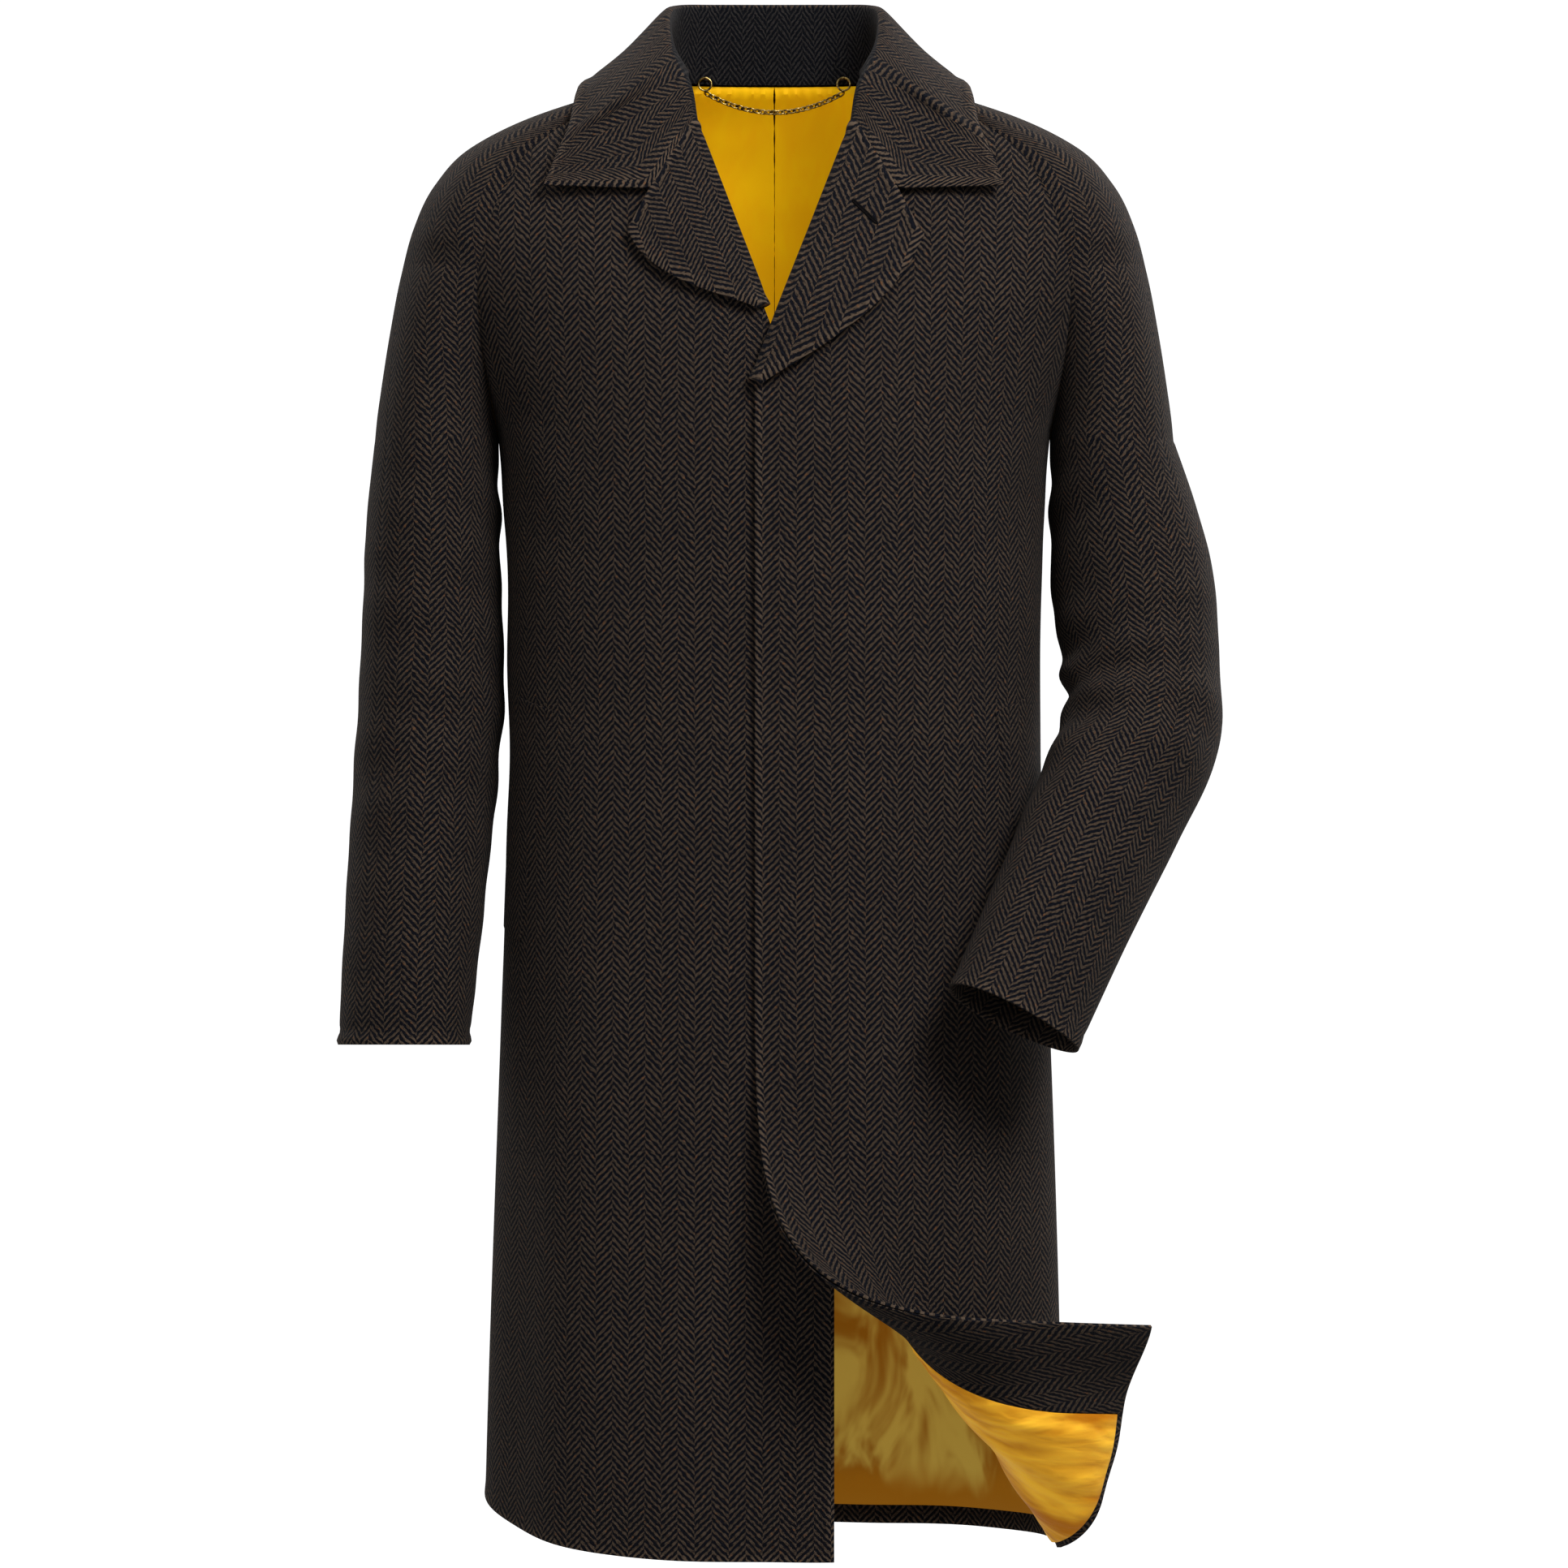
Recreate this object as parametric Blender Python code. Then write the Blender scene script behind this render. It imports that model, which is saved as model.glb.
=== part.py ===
"""A man's knee-length raglan coat, worn with no wearer inside, its lower left front corner turned back.

Each piece of cloth is a thin wall. Its outer face is a surface worked out from the body's rings, the
sleeves' rings or the collar's stations, and its inner face is the same surface moved inwards. The two
lapels, the facing, the linings and the pocket welts are made from the fronts' own points, moved out or in.
"""

import math

import bmesh
import bpy
import numpy as np

# Metres, +Z up. -Y is the coat's front and +X the wearer's left. The origin is the middle of the neck.
COAT_LENGTH = 1.082      # neck seam to the hem, at the centre front
RIGHT_HEM_RISE = 0.045   # how much higher the hem is at the wearer's right side seam
ARMPIT = -0.270
NECK = -0.008            # height of the neckline at the shoulders
ROUNDNESS = 2.3          # the power of the body's oval rings
CLOTH = 0.002            # coat cloth
LINING = 0.001
LAPEL = 0.003            # front and facing sewn together
COLLAR_CLOTH = 0.0025
SEAM = 0.0003            # gap between two pieces sewn together
HALF_SEAM = SEAM / 2
LAYER_GAP = 0.0005       # gap between a panel and what lies on it
UNDERLAP = 0.043         # how far the right front reaches past the centre, under the left one
OVERLAP = 0.0135         # how far the left front reaches past the centre
FLY_LIFT = 0.0048        # how far the left front stands off where it lies on the right one
FLY_BLEND = (0.05, 0.12)
FACING_LINE = 0.0745     # girth where the facing meets the lining
LINING_HEM = 0.014       # the lining ends this far above the hem
ROLL_START = -0.2        # height where the lapel's fold crosses the centre front
ROLL_TILT = math.atan(0.381)
LAPEL_ROLL = 0.0012      # inner radius of the lapel's fold
GORGE = 0.165            # where the collar meets the lapel, along the fold
RIGHT_LAPEL_START = 0.020  # where the right lapel starts, along its fold
CORNER_FOLD_TOP = (-0.0135, -0.703)   # girth and height of the turned corner's fold
CORNER_FOLD_END = (0.2664, -1.1064)
CORNER_ROLL = (0.0973, 0.0117)         # radius of that fold at its two ends
CORNER_TURN = 2.91

# The body's rings, from the hem up to the armpit: half width, depth to the front and to the back.
BODY = (  # height, half_width, front, back
    (-1.130, 0.2110, 0.152, 0.150),
    (-1.000, 0.2085, 0.150, 0.149),
    (-0.850, 0.2050, 0.147, 0.146),
    (-0.700, 0.2010, 0.144, 0.141),
    (-0.580, 0.1975, 0.141, 0.134),
    (-0.470, 0.1955, 0.140, 0.130),
    (-0.380, 0.1970, 0.142, 0.135),
    (-0.330, 0.1983, 0.1435, 0.140),
    (-0.295, 0.2003, 0.1445, 0.143),
    (-0.270, 0.2030, 0.145, 0.145),
)
# Above the armpit: depths at the centre, where both raglan seams lie, and the shoulder's ridge.
CHEST = (  # height, front, back, seam_x, seam_front, seam_back, ridge_x, ridge_y, ridge_z, deep
    (-0.270, 0.145, 0.145, 0.2030, 0.0001, 0.0001, 0.2940, 0.000, -0.272, 0.080),
    (-0.255, 0.144, 0.147, 0.2050, 0.0220, 0.0260, 0.2925, 0.000, -0.256, 0.080),
    (-0.235, 0.143, 0.149, 0.2085, 0.0420, 0.0470, 0.2895, 0.001, -0.234, 0.081),
    (-0.195, 0.139, 0.152, 0.2140, 0.0650, 0.0750, 0.2830, 0.003, -0.192, 0.084),
    (-0.155, 0.130, 0.152, 0.2150, 0.0800, 0.0950, 0.2750, 0.004, -0.150, 0.088),
    (-0.124, 0.120, 0.146, 0.2087, 0.0830, 0.1000, 0.2660, 0.005, -0.116, 0.092),
    (-0.091, 0.108, 0.134, 0.1955, 0.0790, 0.0980, 0.2500, 0.006, -0.083, 0.089),
    (-0.0625, 0.096, 0.120, 0.1776, 0.0710, 0.0900, 0.2240, 0.007, -0.056, 0.081),
    (-0.040, 0.084, 0.103, 0.1480, 0.0600, 0.0770, 0.1830, 0.008, -0.035, 0.069),
    (-0.020, 0.072, 0.083, 0.1130, 0.0490, 0.0620, 0.1340, 0.008, -0.019, 0.056),
    (-0.008, 0.062, 0.066, 0.0820, 0.0400, 0.0500, 0.0880, 0.008, -0.005, 0.045),
)
# The sleeves below the armpit: centre, half size across and front to back, and the ring's two tilts.
RIGHT_SLEEVE = (  # x, y, z, across, deep, lean, tip
    (0.2485, 0.000, -0.2710, 0.0455, 0.080, 0, 0),
    (0.2515, 0.000, -0.3300, 0.0490, 0.078, 0, 0),
    (0.2530, -0.002, -0.3830, 0.0508, 0.073, 0, 0),
    (0.2535, -0.006, -0.4546, 0.0535, 0.067, 0, 2),
    (0.2575, -0.012, -0.5263, 0.0530, 0.062, 0, 4),
    (0.2623, -0.022, -0.5980, 0.0512, 0.058, 0, 5),
    (0.2668, -0.032, -0.6700, 0.0492, 0.054, 0, 4),
    (0.2695, -0.037, -0.7148, 0.0475, 0.052, 0, 2),
)
LEFT_SLEEVE = (  # x, y, z, across, deep, lean, tip
    (0.2485, 0.000, -0.2710, 0.0455, 0.080, 0, 0),
    (0.2575, -0.002, -0.3250, 0.0540, 0.078, 4, 0),
    (0.2650, -0.008, -0.3780, 0.0600, 0.074, 6, 3),
    (0.2700, -0.022, -0.4330, 0.0580, 0.068, 2, 8),
    (0.2685, -0.048, -0.4860, 0.0580, 0.062, -14, 14),
    (0.2405, -0.084, -0.5450, 0.0555, 0.056, -23, 18),
    (0.2060, -0.124, -0.6150, 0.0525, 0.051, -25, 18),
    (0.1700, -0.162, -0.6910, 0.0510, 0.047, -26, 14),
)
OVERARM = ((0.0, 90), (0.5, 70), (1.0, 48), (2.0, 42))   # angle of the overarm seam: neck, armpit, cuff
# The collar's underside from the centre back to the neck's front corner; further on it follows the front.
COLLAR = (  # seam_xyz, fold_xyz, fall_xyz, edge_xyz
    ((0.000, 0.0620, -0.0035), (0.000, 0.0560, 0.0560), (0.000, 0.0860, 0.018), (0.000, 0.1020, -0.028)),
    ((0.045, 0.0580, -0.0035), (0.043, 0.0520, 0.0555), (0.060, 0.0820, 0.017), (0.070, 0.0980, -0.026)),
    ((0.074, 0.0360, -0.0030), (0.069, 0.0320, 0.0530), (0.096, 0.0520, 0.018), (0.117, 0.0660, -0.016)),
    ((0.083, 0.0060, -0.0010), (0.0765, 0.0030, 0.0460), (0.110, 0.0060, 0.014), (0.138, 0.0080, -0.010)),
    ((0.0790, -0.0220, -0.0010), (0.0765, -0.0290, 0.0270), (0.111, -0.0380, 0.002), (0.143, -0.0440, -0.021)),
    ((0.0650, -0.0455, -0.0035), (0.0730, -0.0560, 0.0060), (0.109, -0.0810, -0.023), (0.1475, -0.0800, -0.048)),
)
# By the front's fold: where along it, the roll's radius, and the girth, height and lift of the free edge.
COLLAR_FRONT = (0.190, 0.0045, 0.155, -0.071, 0.0085)
GORGE_GAP = 0.0010       # between the collar and the lapel's top edge
COLLAR_ROLL = 0.0016     # radius of the collar's roll where it meets the lapel
COLLAR_TIP = (0.1660, -0.1015, -0.0915)
LAPEL_EDGE = ((0.0, 0.003), (0.25, 0.030), (0.5, 0.052), (0.8, 0.068), (1.0, 0.0715))  # share, width
LAPEL_TOP = ((0.0, GORGE), (0.64, 0.127), (1.0, 0.104))  # share of the width, distance along the fold
LEFT_LAPEL_WIDER = 1.05
POCKET = (0.171, 0.2195, -0.471, -0.640, 0.042)  # girth from and to, top, bottom, how far it slants out
POCKET_RISE = 0.012      # how much higher the welt's outer end is
WELT_CLOTH = 0.0012
WELT_GAP = 0.0009
TAB_ROWS = (0.155, 0.172, 0.190)                    # shares of the collar's half length
HANGER_RING = (0.0515, 0.0475, -0.0040)             # centre of the left ring
HANGER_SIZES = (0.0042, 0.0007, 0.0145, 0.0011)     # ring radius, its wire, the chain's sag, its radius

CLOTH_COLOUR = (0.030, 0.024, 0.021)
LINING_COLOUR = (0.75, 0.40, 0.02)
BRASS = (0.42, 0.32, 0.14)


def curve(at, stops, values):
    """A smooth curve through values at the stops; at may be an array, and values may be points."""
    stops, values, at = np.asarray(stops, float), np.asarray(values, float), np.asarray(at, float)
    slopes = np.gradient(values, stops, axis=0)
    k = np.clip(np.searchsorted(stops, at) - 1, 0, len(stops) - 2)
    gap = stops[k + 1] - stops[k]
    t = np.clip((at - stops[k]) / gap, 0, 1)
    if values.ndim > 1:
        t, gap = t[..., None], gap[..., None]
    start, end = 2 * t**3 - 3 * t**2 + 1, 3 * t**2 - 2 * t**3
    lean_out, lean_in = (t**3 - 2 * t**2 + t) * gap, (t**3 - t**2) * gap
    return start * values[k] + lean_out * slopes[k] + end * values[k + 1] + lean_in * slopes[k + 1]


def column(table, number):
    return [row[number] for row in table]


def ease(t):
    t = np.clip(t, 0, 1)
    return t * t * (3 - 2 * t)


def mix(a, b, share):
    return a + (b - a) * share


def unit(vectors):
    return vectors / np.maximum(np.linalg.norm(vectors, axis=-1, keepdims=True), 1e-12)


def half_width(depth, seam_x, seam_depth):
    """Half width of the oval that is depth deep at the centre and passes through the raglan seam."""
    return seam_x / np.maximum(1 - (seam_depth / depth) ** ROUNDNESS, 1e-6) ** (1 / ROUNDNESS)


def ring_sizes(height):
    """Front and back half widths and depths of the body's ring at a height."""
    low = [curve(height, column(BODY, 0), column(BODY, n)) for n in (1, 1, 2, 3)]
    high = [curve(height, column(CHEST, 0), column(CHEST, n)) for n in (1, 2, 3, 4, 5)]
    front, back, seam_x, seam_front, seam_back = high
    high = (half_width(front, seam_x, seam_front), half_width(back, seam_x, seam_back), front, back)
    return [np.where(height < ARMPIT, a, b) for a, b in zip(low, high)]


def ring(angle, height):
    """The body's outer face: angle 0 is the centre front, a quarter turn the side, pi the centre back."""
    wide_front, wide_back, front, back = ring_sizes(height)
    ahead = np.cos(angle) > 0
    wide, deep = np.where(ahead, wide_front, wide_back), np.where(ahead, front, back)
    power = np.abs(np.sin(angle) / wide) ** ROUNDNESS + np.abs(np.cos(angle) / deep) ** ROUNDNESS
    radius = power ** (-1 / ROUNDNESS)
    return np.stack([radius * np.sin(angle), -radius * np.cos(angle), height + 0 * angle], -1)


# The girth from the centre front to an angle, and back, read from two tables worked out once.
HEIGHTS = np.linspace(-1.16, NECK + 0.004, 200)
ANGLES = np.linspace(0, math.pi, 361)
GIRTHS = np.linspace(0, 0.70, 351)
_rings = ring(ANGLES[None, :], np.repeat(HEIGHTS[:, None], len(ANGLES), 1))
_steps = np.linalg.norm(np.diff(_rings, axis=1), axis=-1)
GIRTH_AT = np.concatenate([np.zeros((len(HEIGHTS), 1)), np.cumsum(_steps, axis=1)], axis=1)
ANGLE_AT = np.array([np.interp(GIRTHS, row, ANGLES) for row in GIRTH_AT])


def read_table(table, height, across, across_values):
    """A value between the four nearest entries of a table of rows by height."""
    row = np.clip((height - HEIGHTS[0]) / (HEIGHTS[1] - HEIGHTS[0]), 0, len(HEIGHTS) - 1.001)
    step = across_values[1] - across_values[0]
    place = np.clip((across - across_values[0]) / step, 0, len(across_values) - 1.001)
    i, j = row.astype(int), place.astype(int)
    lower = mix(table[i, j], table[i, j + 1], place - j)
    upper = mix(table[i + 1, j], table[i + 1, j + 1], place - j)
    return mix(lower, upper, row - i)


def body(girth, height):
    """A point of the body's outer face, by its distance round the ring from the centre front."""
    girth, height = np.broadcast_arrays(np.asarray(girth, float), np.asarray(height, float))
    points = ring(read_table(ANGLE_AT, height, np.abs(girth), GIRTHS), height)
    points[..., 0] *= np.where(girth < 0, -1, 1)
    return points


def frame_at(girth, height):
    """A point of the body with its unit vectors round the ring, up the cloth and outwards."""
    step = 0.002
    here = body(girth, height)
    around = unit(body(girth + step, height) - body(girth - step, height))
    up = unit(body(girth, height + step) - body(girth, height - step))
    out = unit(np.cross(around, up))
    return here, around, np.cross(out, around), out


def girth_of(angle, height):
    return read_table(GIRTH_AT, np.asarray(height, float), np.asarray(angle, float), ANGLES)


def side_girth(height):
    return girth_of(math.pi / 2 + 0 * height, height)


def raglan_girth(height, back=False):
    """Girth of the raglan seam above the armpit."""
    x = curve(height, column(CHEST, 0), column(CHEST, 3))
    y = -curve(height, column(CHEST, 0), column(CHEST, 5)) if back else \
        curve(height, column(CHEST, 0), column(CHEST, 4))
    return girth_of(np.arctan2(x, y), height)


def hem_height(girth, side):
    """Height of the hem: level, but raised towards the wearer's right side seam."""
    share = np.clip(np.abs(girth) / 0.30, 0, 2)
    rise = RIGHT_HEM_RISE * np.minimum(share, 2 - share) ** 2.7
    return -COAT_LENGTH + np.where(np.less(side, 0), rise, 0)


def fold_girth(height):
    """Girth of the lapel's fold line."""
    return (height - ROLL_START) * math.tan(ROLL_TILT)


def lift(girth, height):
    """How far the left front stands off the body where it lies on the right front."""
    fade = 1 - ease((np.abs(girth) - FLY_BLEND[0]) / (FLY_BLEND[1] - FLY_BLEND[0]))
    return FLY_LIFT * fade * (1 - ease((height - ROLL_START - 0.01) / 0.07))


def turned(girth, height, depth):
    """The left front with its lower corner rolled back about a slanting fold."""
    along = np.subtract(CORNER_FOLD_END, CORNER_FOLD_TOP)
    length = np.linalg.norm(along)
    along = along / length
    down = np.array([along[1], -along[0]])
    from_top = np.stack([girth - CORNER_FOLD_TOP[0], height - CORNER_FOLD_TOP[1]], -1)
    past = np.maximum(from_top @ down, 0)
    radius = mix(*CORNER_ROLL, np.clip(from_top @ along / length, 0, 1))
    foot = np.stack([girth, height], -1) - past[..., None] * down
    here, around, up, out = frame_at(foot[..., 0], foot[..., 1])
    forward = around * down[0] + up * down[1]
    angle = np.minimum(past / radius, CORNER_TURN)
    straight = (past - angle * radius)[..., None]
    raised, radius = (lift(girth, height) - depth)[..., None], radius[..., None]
    sine, cosine = np.sin(angle)[..., None], np.cos(angle)[..., None]
    rolled = here + out * radius + (radius - raised) * (forward * sine - out * cosine)
    return rolled + straight * (forward * cosine + out * sine)


def plain(girth, height, depth):
    here, _, _, out = frame_at(girth, height)
    return here - out * np.asarray(depth)[..., None]


def place_on(side, girth, height, depth):
    """A point of the left (1) or right (-1) front or of the back, depth inside its outer face."""
    if side > 0:
        return turned(girth, height, depth)
    return plain(girth, height, depth) * [-1, 1, 1]


HEM_ROW = LINING_HEM / (COAT_LENGTH + ARMPIT)
CHEST_ROWS = np.array([1.1, 1.2, 1.3, 1.42, 1.54, 1.65, 1.75, 1.83, 1.90, 1.95, 2.0])
LOW_ROWS = np.concatenate([[0], np.linspace(HEM_ROW, 1, 12), CHEST_ROWS])
FINE_ROWS = np.concatenate([[0], np.linspace(HEM_ROW, 0.47, 21), np.linspace(0.47, 1, 8)[1:], CHEST_ROWS])


def row_height(share, girth, side):
    """Height of a row of a panel: 0 to 1 from the hem's curve up to the armpit, 1 to 2 on to the neck."""
    low = mix(hem_height(girth, side), ARMPIT, np.minimum(share, 1))
    return np.where(share <= 1, low, mix(ARMPIT, NECK, share - 1))


def panel_edge(share, side, trim, back=False):
    """Girth of a front's or the back's sewn edge at a row: the side seam, then the raglan seam."""
    level = row_height(share, 0.30 + 0 * share, side)
    above = raglan_girth(np.maximum(level, ARMPIT), back)
    return np.where(share <= 1, side_girth(level), above) + trim


def front_edge(height, side):
    """Girth of a front's free edge: straight, then along the lapel's fold."""
    plumb = -OVERLAP if side > 0 else -UNDERLAP
    return np.maximum(plumb, fold_girth(height))


def front_girth(u, v, side):
    """Girth in a front: u is 0 to 1 from its free edge to the facing's line, 1 to 2 on to its sewn edge."""
    first = front_edge(row_height(v, 0 * v, side), side)
    last = panel_edge(v, side, -HALF_SEAM)
    split = mix(FACING_LINE, mix(first, last, 0.4), np.clip(v - 1, 0, 1))
    return np.where(u < 1, mix(first, split, u), mix(split, last, u - 1))


def wall(name, across, rows, place, thickness, material, start=0.0, trims=(0, 0, 0)):
    """A closed wall whose outer skin lies at depth start and whose inner one lies thickness deeper."""
    v, u = np.meshgrid(rows, across, indexing="ij")
    grids = [place(u, v, depth) for depth in (start, start + thickness)]
    for grid in grids:
        edges = ((grid[:, 0], grid[:, 1]), (grid[:, -1], grid[:, -2]), (grid[0], grid[1]))
        for (edge, beside), trim in zip(edges, trims):
            edge += unit(beside - edge) * trim
    return sew(name, *grids, material)


def sew(name, outer, inner, material):
    """A closed body between two grids of points, rows by columns, with a rim round their edges."""
    mesh = bmesh.new()
    height, width = outer.shape[:2]
    skins = [[mesh.verts.new(p) for p in grid.reshape(-1, 3)] for grid in (outer, inner)]
    for row in range(height - 1):
        for col in range(width - 1):
            a = row * width + col
            for three in ((a, a + 1, a + width + 1), (a, a + width + 1, a + width)):
                mesh.faces.new([skins[0][n] for n in three])
                mesh.faces.new([skins[1][n] for n in reversed(three)])
    bottom = list(range(width))
    right = [row * width + width - 1 for row in range(height)]
    left = [row * width for row in range(height)]
    top = [(height - 1) * width + col for col in range(width)]
    loop = bottom + right[1:] + top[-2::-1] + left[-2:0:-1]
    for here, there in zip(loop, loop[1:] + loop[:1]):
        mesh.faces.new([skins[0][there], skins[0][here], skins[1][here], skins[1][there]])
    return finish(name, mesh, material)


def finish(name, mesh, material):
    bmesh.ops.recalc_face_normals(mesh, faces=mesh.faces)
    data = bpy.data.meshes.new(name)
    mesh.to_mesh(data)
    mesh.free()
    data.shade_smooth()
    data.set_sharp_from_angle(angle=math.radians(50))
    data.materials.append(material)
    item = bpy.data.objects.new(name, data)
    bpy.context.scene.collection.objects.link(item)
    return item


def make_material(name, colour, roughness, metallic=0.0):
    material = bpy.data.materials.new(name)
    material.use_nodes = True
    shader = material.node_tree.nodes["Principled BSDF"]
    shader.inputs["Base Color"].default_value = (*colour, 1)
    shader.inputs["Roughness"].default_value = roughness
    shader.inputs["Metallic"].default_value = metallic
    return material


def front(name, side, material):
    near, far, rows = (6, 13, FINE_ROWS) if side > 0 else (4, 8, LOW_ROWS)
    columns = np.concatenate([np.linspace(0, 1, near), np.linspace(1, 2, far + 1)[1:]])

    def place(u, v, depth):
        girth = front_girth(u, v, side)
        return place_on(side, girth, row_height(v, girth, side), depth)

    return wall(name, columns, rows, place, CLOTH, material)


def inside_front(name, material, from_column, to_column, from_row, trims):
    """Part of the left front's inside, on its own rows and columns: the facing or the lining."""
    columns = np.concatenate([np.linspace(0, 1, 6), np.linspace(1, 2, 14)[1:]])[from_column:to_column + 1]
    rows = FINE_ROWS[(FINE_ROWS <= 1) & (FINE_ROWS >= FINE_ROWS[from_row])]

    def place(u, v, depth):
        girth = front_girth(u, v, 1)
        return turned(girth, row_height(v, girth, 1), depth)

    return wall(name, columns, rows, place, LINING, material, CLOTH + LAYER_GAP, trims)


def back_place(u, v, depth):
    """A point of the back: u is -1 to 1 from the wearer's right sewn edge to the left one."""
    side = np.where(u < 0, -1, 1)
    edge = panel_edge(v, side, HALF_SEAM, back=True)
    middle = girth_of(math.pi + 0 * v, row_height(v, 0.6 + 0 * v, side))
    girth = mix(middle, edge, np.abs(u))
    points = plain(girth, row_height(v, girth, side), depth)
    points[..., 0] *= side
    return points


def back_lining(name, edges, trims, material):
    rows = LOW_ROWS[1:]
    return wall(name, np.linspace(*edges, 9), rows, back_place, LINING, material, CLOTH + LAYER_GAP, trims)


def sleeve_ring(side, share):
    """Centre, forward and outward half axes, and start angle of a sleeve's ring: 0 neck, 1 armpit, 2 cuff."""
    height = mix(NECK, ARMPIT, np.minimum(share, 1))
    seam_x, seam_front, seam_back, x, y, z, deep = [
        curve(height, column(CHEST, 0), column(CHEST, n)) for n in (3, 4, 5, 6, 7, 8, 9)]
    half = (seam_front + seam_back) / 2
    deep = np.maximum(deep, half)
    start = -np.arccos(np.clip(half / deep, 0, 1))
    middle = np.stack([seam_x, (seam_back - seam_front) / 2, height], -1)
    ridge = np.stack([x, y, z], -1)
    outward = (ridge - middle) / (1 - np.sin(start))[..., None]
    centre = ridge - outward
    forward = np.stack([0 * deep, -deep, 0 * deep], -1)
    table = LEFT_SLEEVE if side > 0 else RIGHT_SLEEVE
    stops = np.linspace(1, 2, len(table))
    low = [curve(share, stops, column(table, n)) for n in range(7)]
    lean, tip = np.radians(low[5]), np.radians(low[6])
    low_out = np.stack([low[3] * np.cos(lean), 0 * lean, low[3] * np.sin(lean)], -1)
    low_forward = np.stack([0 * tip, -low[4] * np.cos(tip), low[4] * np.sin(tip)], -1)
    below = (share > 1)[..., None]
    centre = np.where(below, np.stack(low[:3], -1), centre)
    return centre, np.where(below, low_forward, forward), np.where(below, low_out, outward), \
        np.where(share > 1, -math.pi / 2, start)


def sleeve_point(side, angle, share, depth):
    centre, forward, outward, _ = sleeve_ring(side, share)
    sine, cosine = np.sin(angle)[..., None], np.cos(angle)[..., None]
    deep, wide = np.linalg.norm(forward, axis=-1)[..., None], np.linalg.norm(outward, axis=-1)[..., None]
    inward = unit(forward / deep * cosine / deep + outward / wide * sine / wide)
    point = centre + forward * cosine + outward * sine - inward * np.asarray(depth)
    return point * [side, 1, 1]


SLEEVE_ROWS = np.concatenate([2 - CHEST_ROWS[::-1], [1.0], np.linspace(1, 2, 14)[1:]])


def sleeve_half(name, side, back, material):
    """The front or back half of a sleeve, from the overarm seam to the raglan and underarm seams."""
    columns = np.linspace(0, 1, 9)

    def place(u, v, depth):
        centre, forward, outward, start = sleeve_ring(side, v)
        over = np.radians(curve(v, column(OVERARM, 0), column(OVERARM, 1)))
        size = np.linalg.norm(outward, axis=-1)
        deep = np.linalg.norm(forward, axis=-1)
        trim = HALF_SEAM / np.minimum(size, deep) * 1.3
        first = np.where(back, math.pi - start - trim, start + trim)
        last = over + np.where(back, trim, -trim)
        return sleeve_point(side, mix(first, last, u), v, depth)

    return wall(name, columns, SLEEVE_ROWS, place, CLOTH, material)


def by_fold(distance, forward, raised, lifted=False):
    """A point off the front, by its place along the lapel's fold and how far it is on the centre's side."""
    along = np.array([math.sin(ROLL_TILT), math.cos(ROLL_TILT)])
    girth = distance * along[0] - forward * along[1]
    height = ROLL_START + distance * along[1] + forward * along[0]
    raised = raised + (lift(girth, height) if lifted else 0)
    return plain(girth, height, -raised)


def lapel(name, side, material):
    """The turned lapel: from the fold line it rolls forwards and lies back on its own front."""
    columns = np.concatenate([np.linspace(-0.4, 0, 5), np.linspace(0, 1, 7)[1:]])
    low = -OVERLAP / math.sin(ROLL_TILT) if side > 0 else RIGHT_LAPEL_START
    wider = LEFT_LAPEL_WIDER if side > 0 else 1

    def place(u, v, depth):
        reach = np.maximum(u, 0)
        width = wider * curve(v, column(LAPEL_EDGE, 0), column(LAPEL_EDGE, 1))
        top = np.interp(reach * wider, column(LAPEL_TOP, 0), column(LAPEL_TOP, 1)) - SEAM
        turn = np.clip((u + 0.4) / 0.4, 0, 1) * math.pi
        radius = LAPEL_ROLL + LAPEL - depth
        forward = np.where(u < 0, SEAM + radius * np.sin(turn), SEAM - reach * width)
        raised = LAPEL_ROLL - radius * np.cos(turn) + 0.003 * np.sin(reach * math.pi)
        return by_fold(mix(low, top, v), forward, raised, side > 0) * [side, 1, 1]

    return wall(name, columns, np.linspace(0, 1, 12), place, LAPEL, material)


COLLAR_COLUMNS = np.array([0, 0.15, 0.28, 0.34, 0.38, 0.42, 0.47, 0.53, 0.62, 0.72, 0.82, 0.92, 1])


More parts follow.
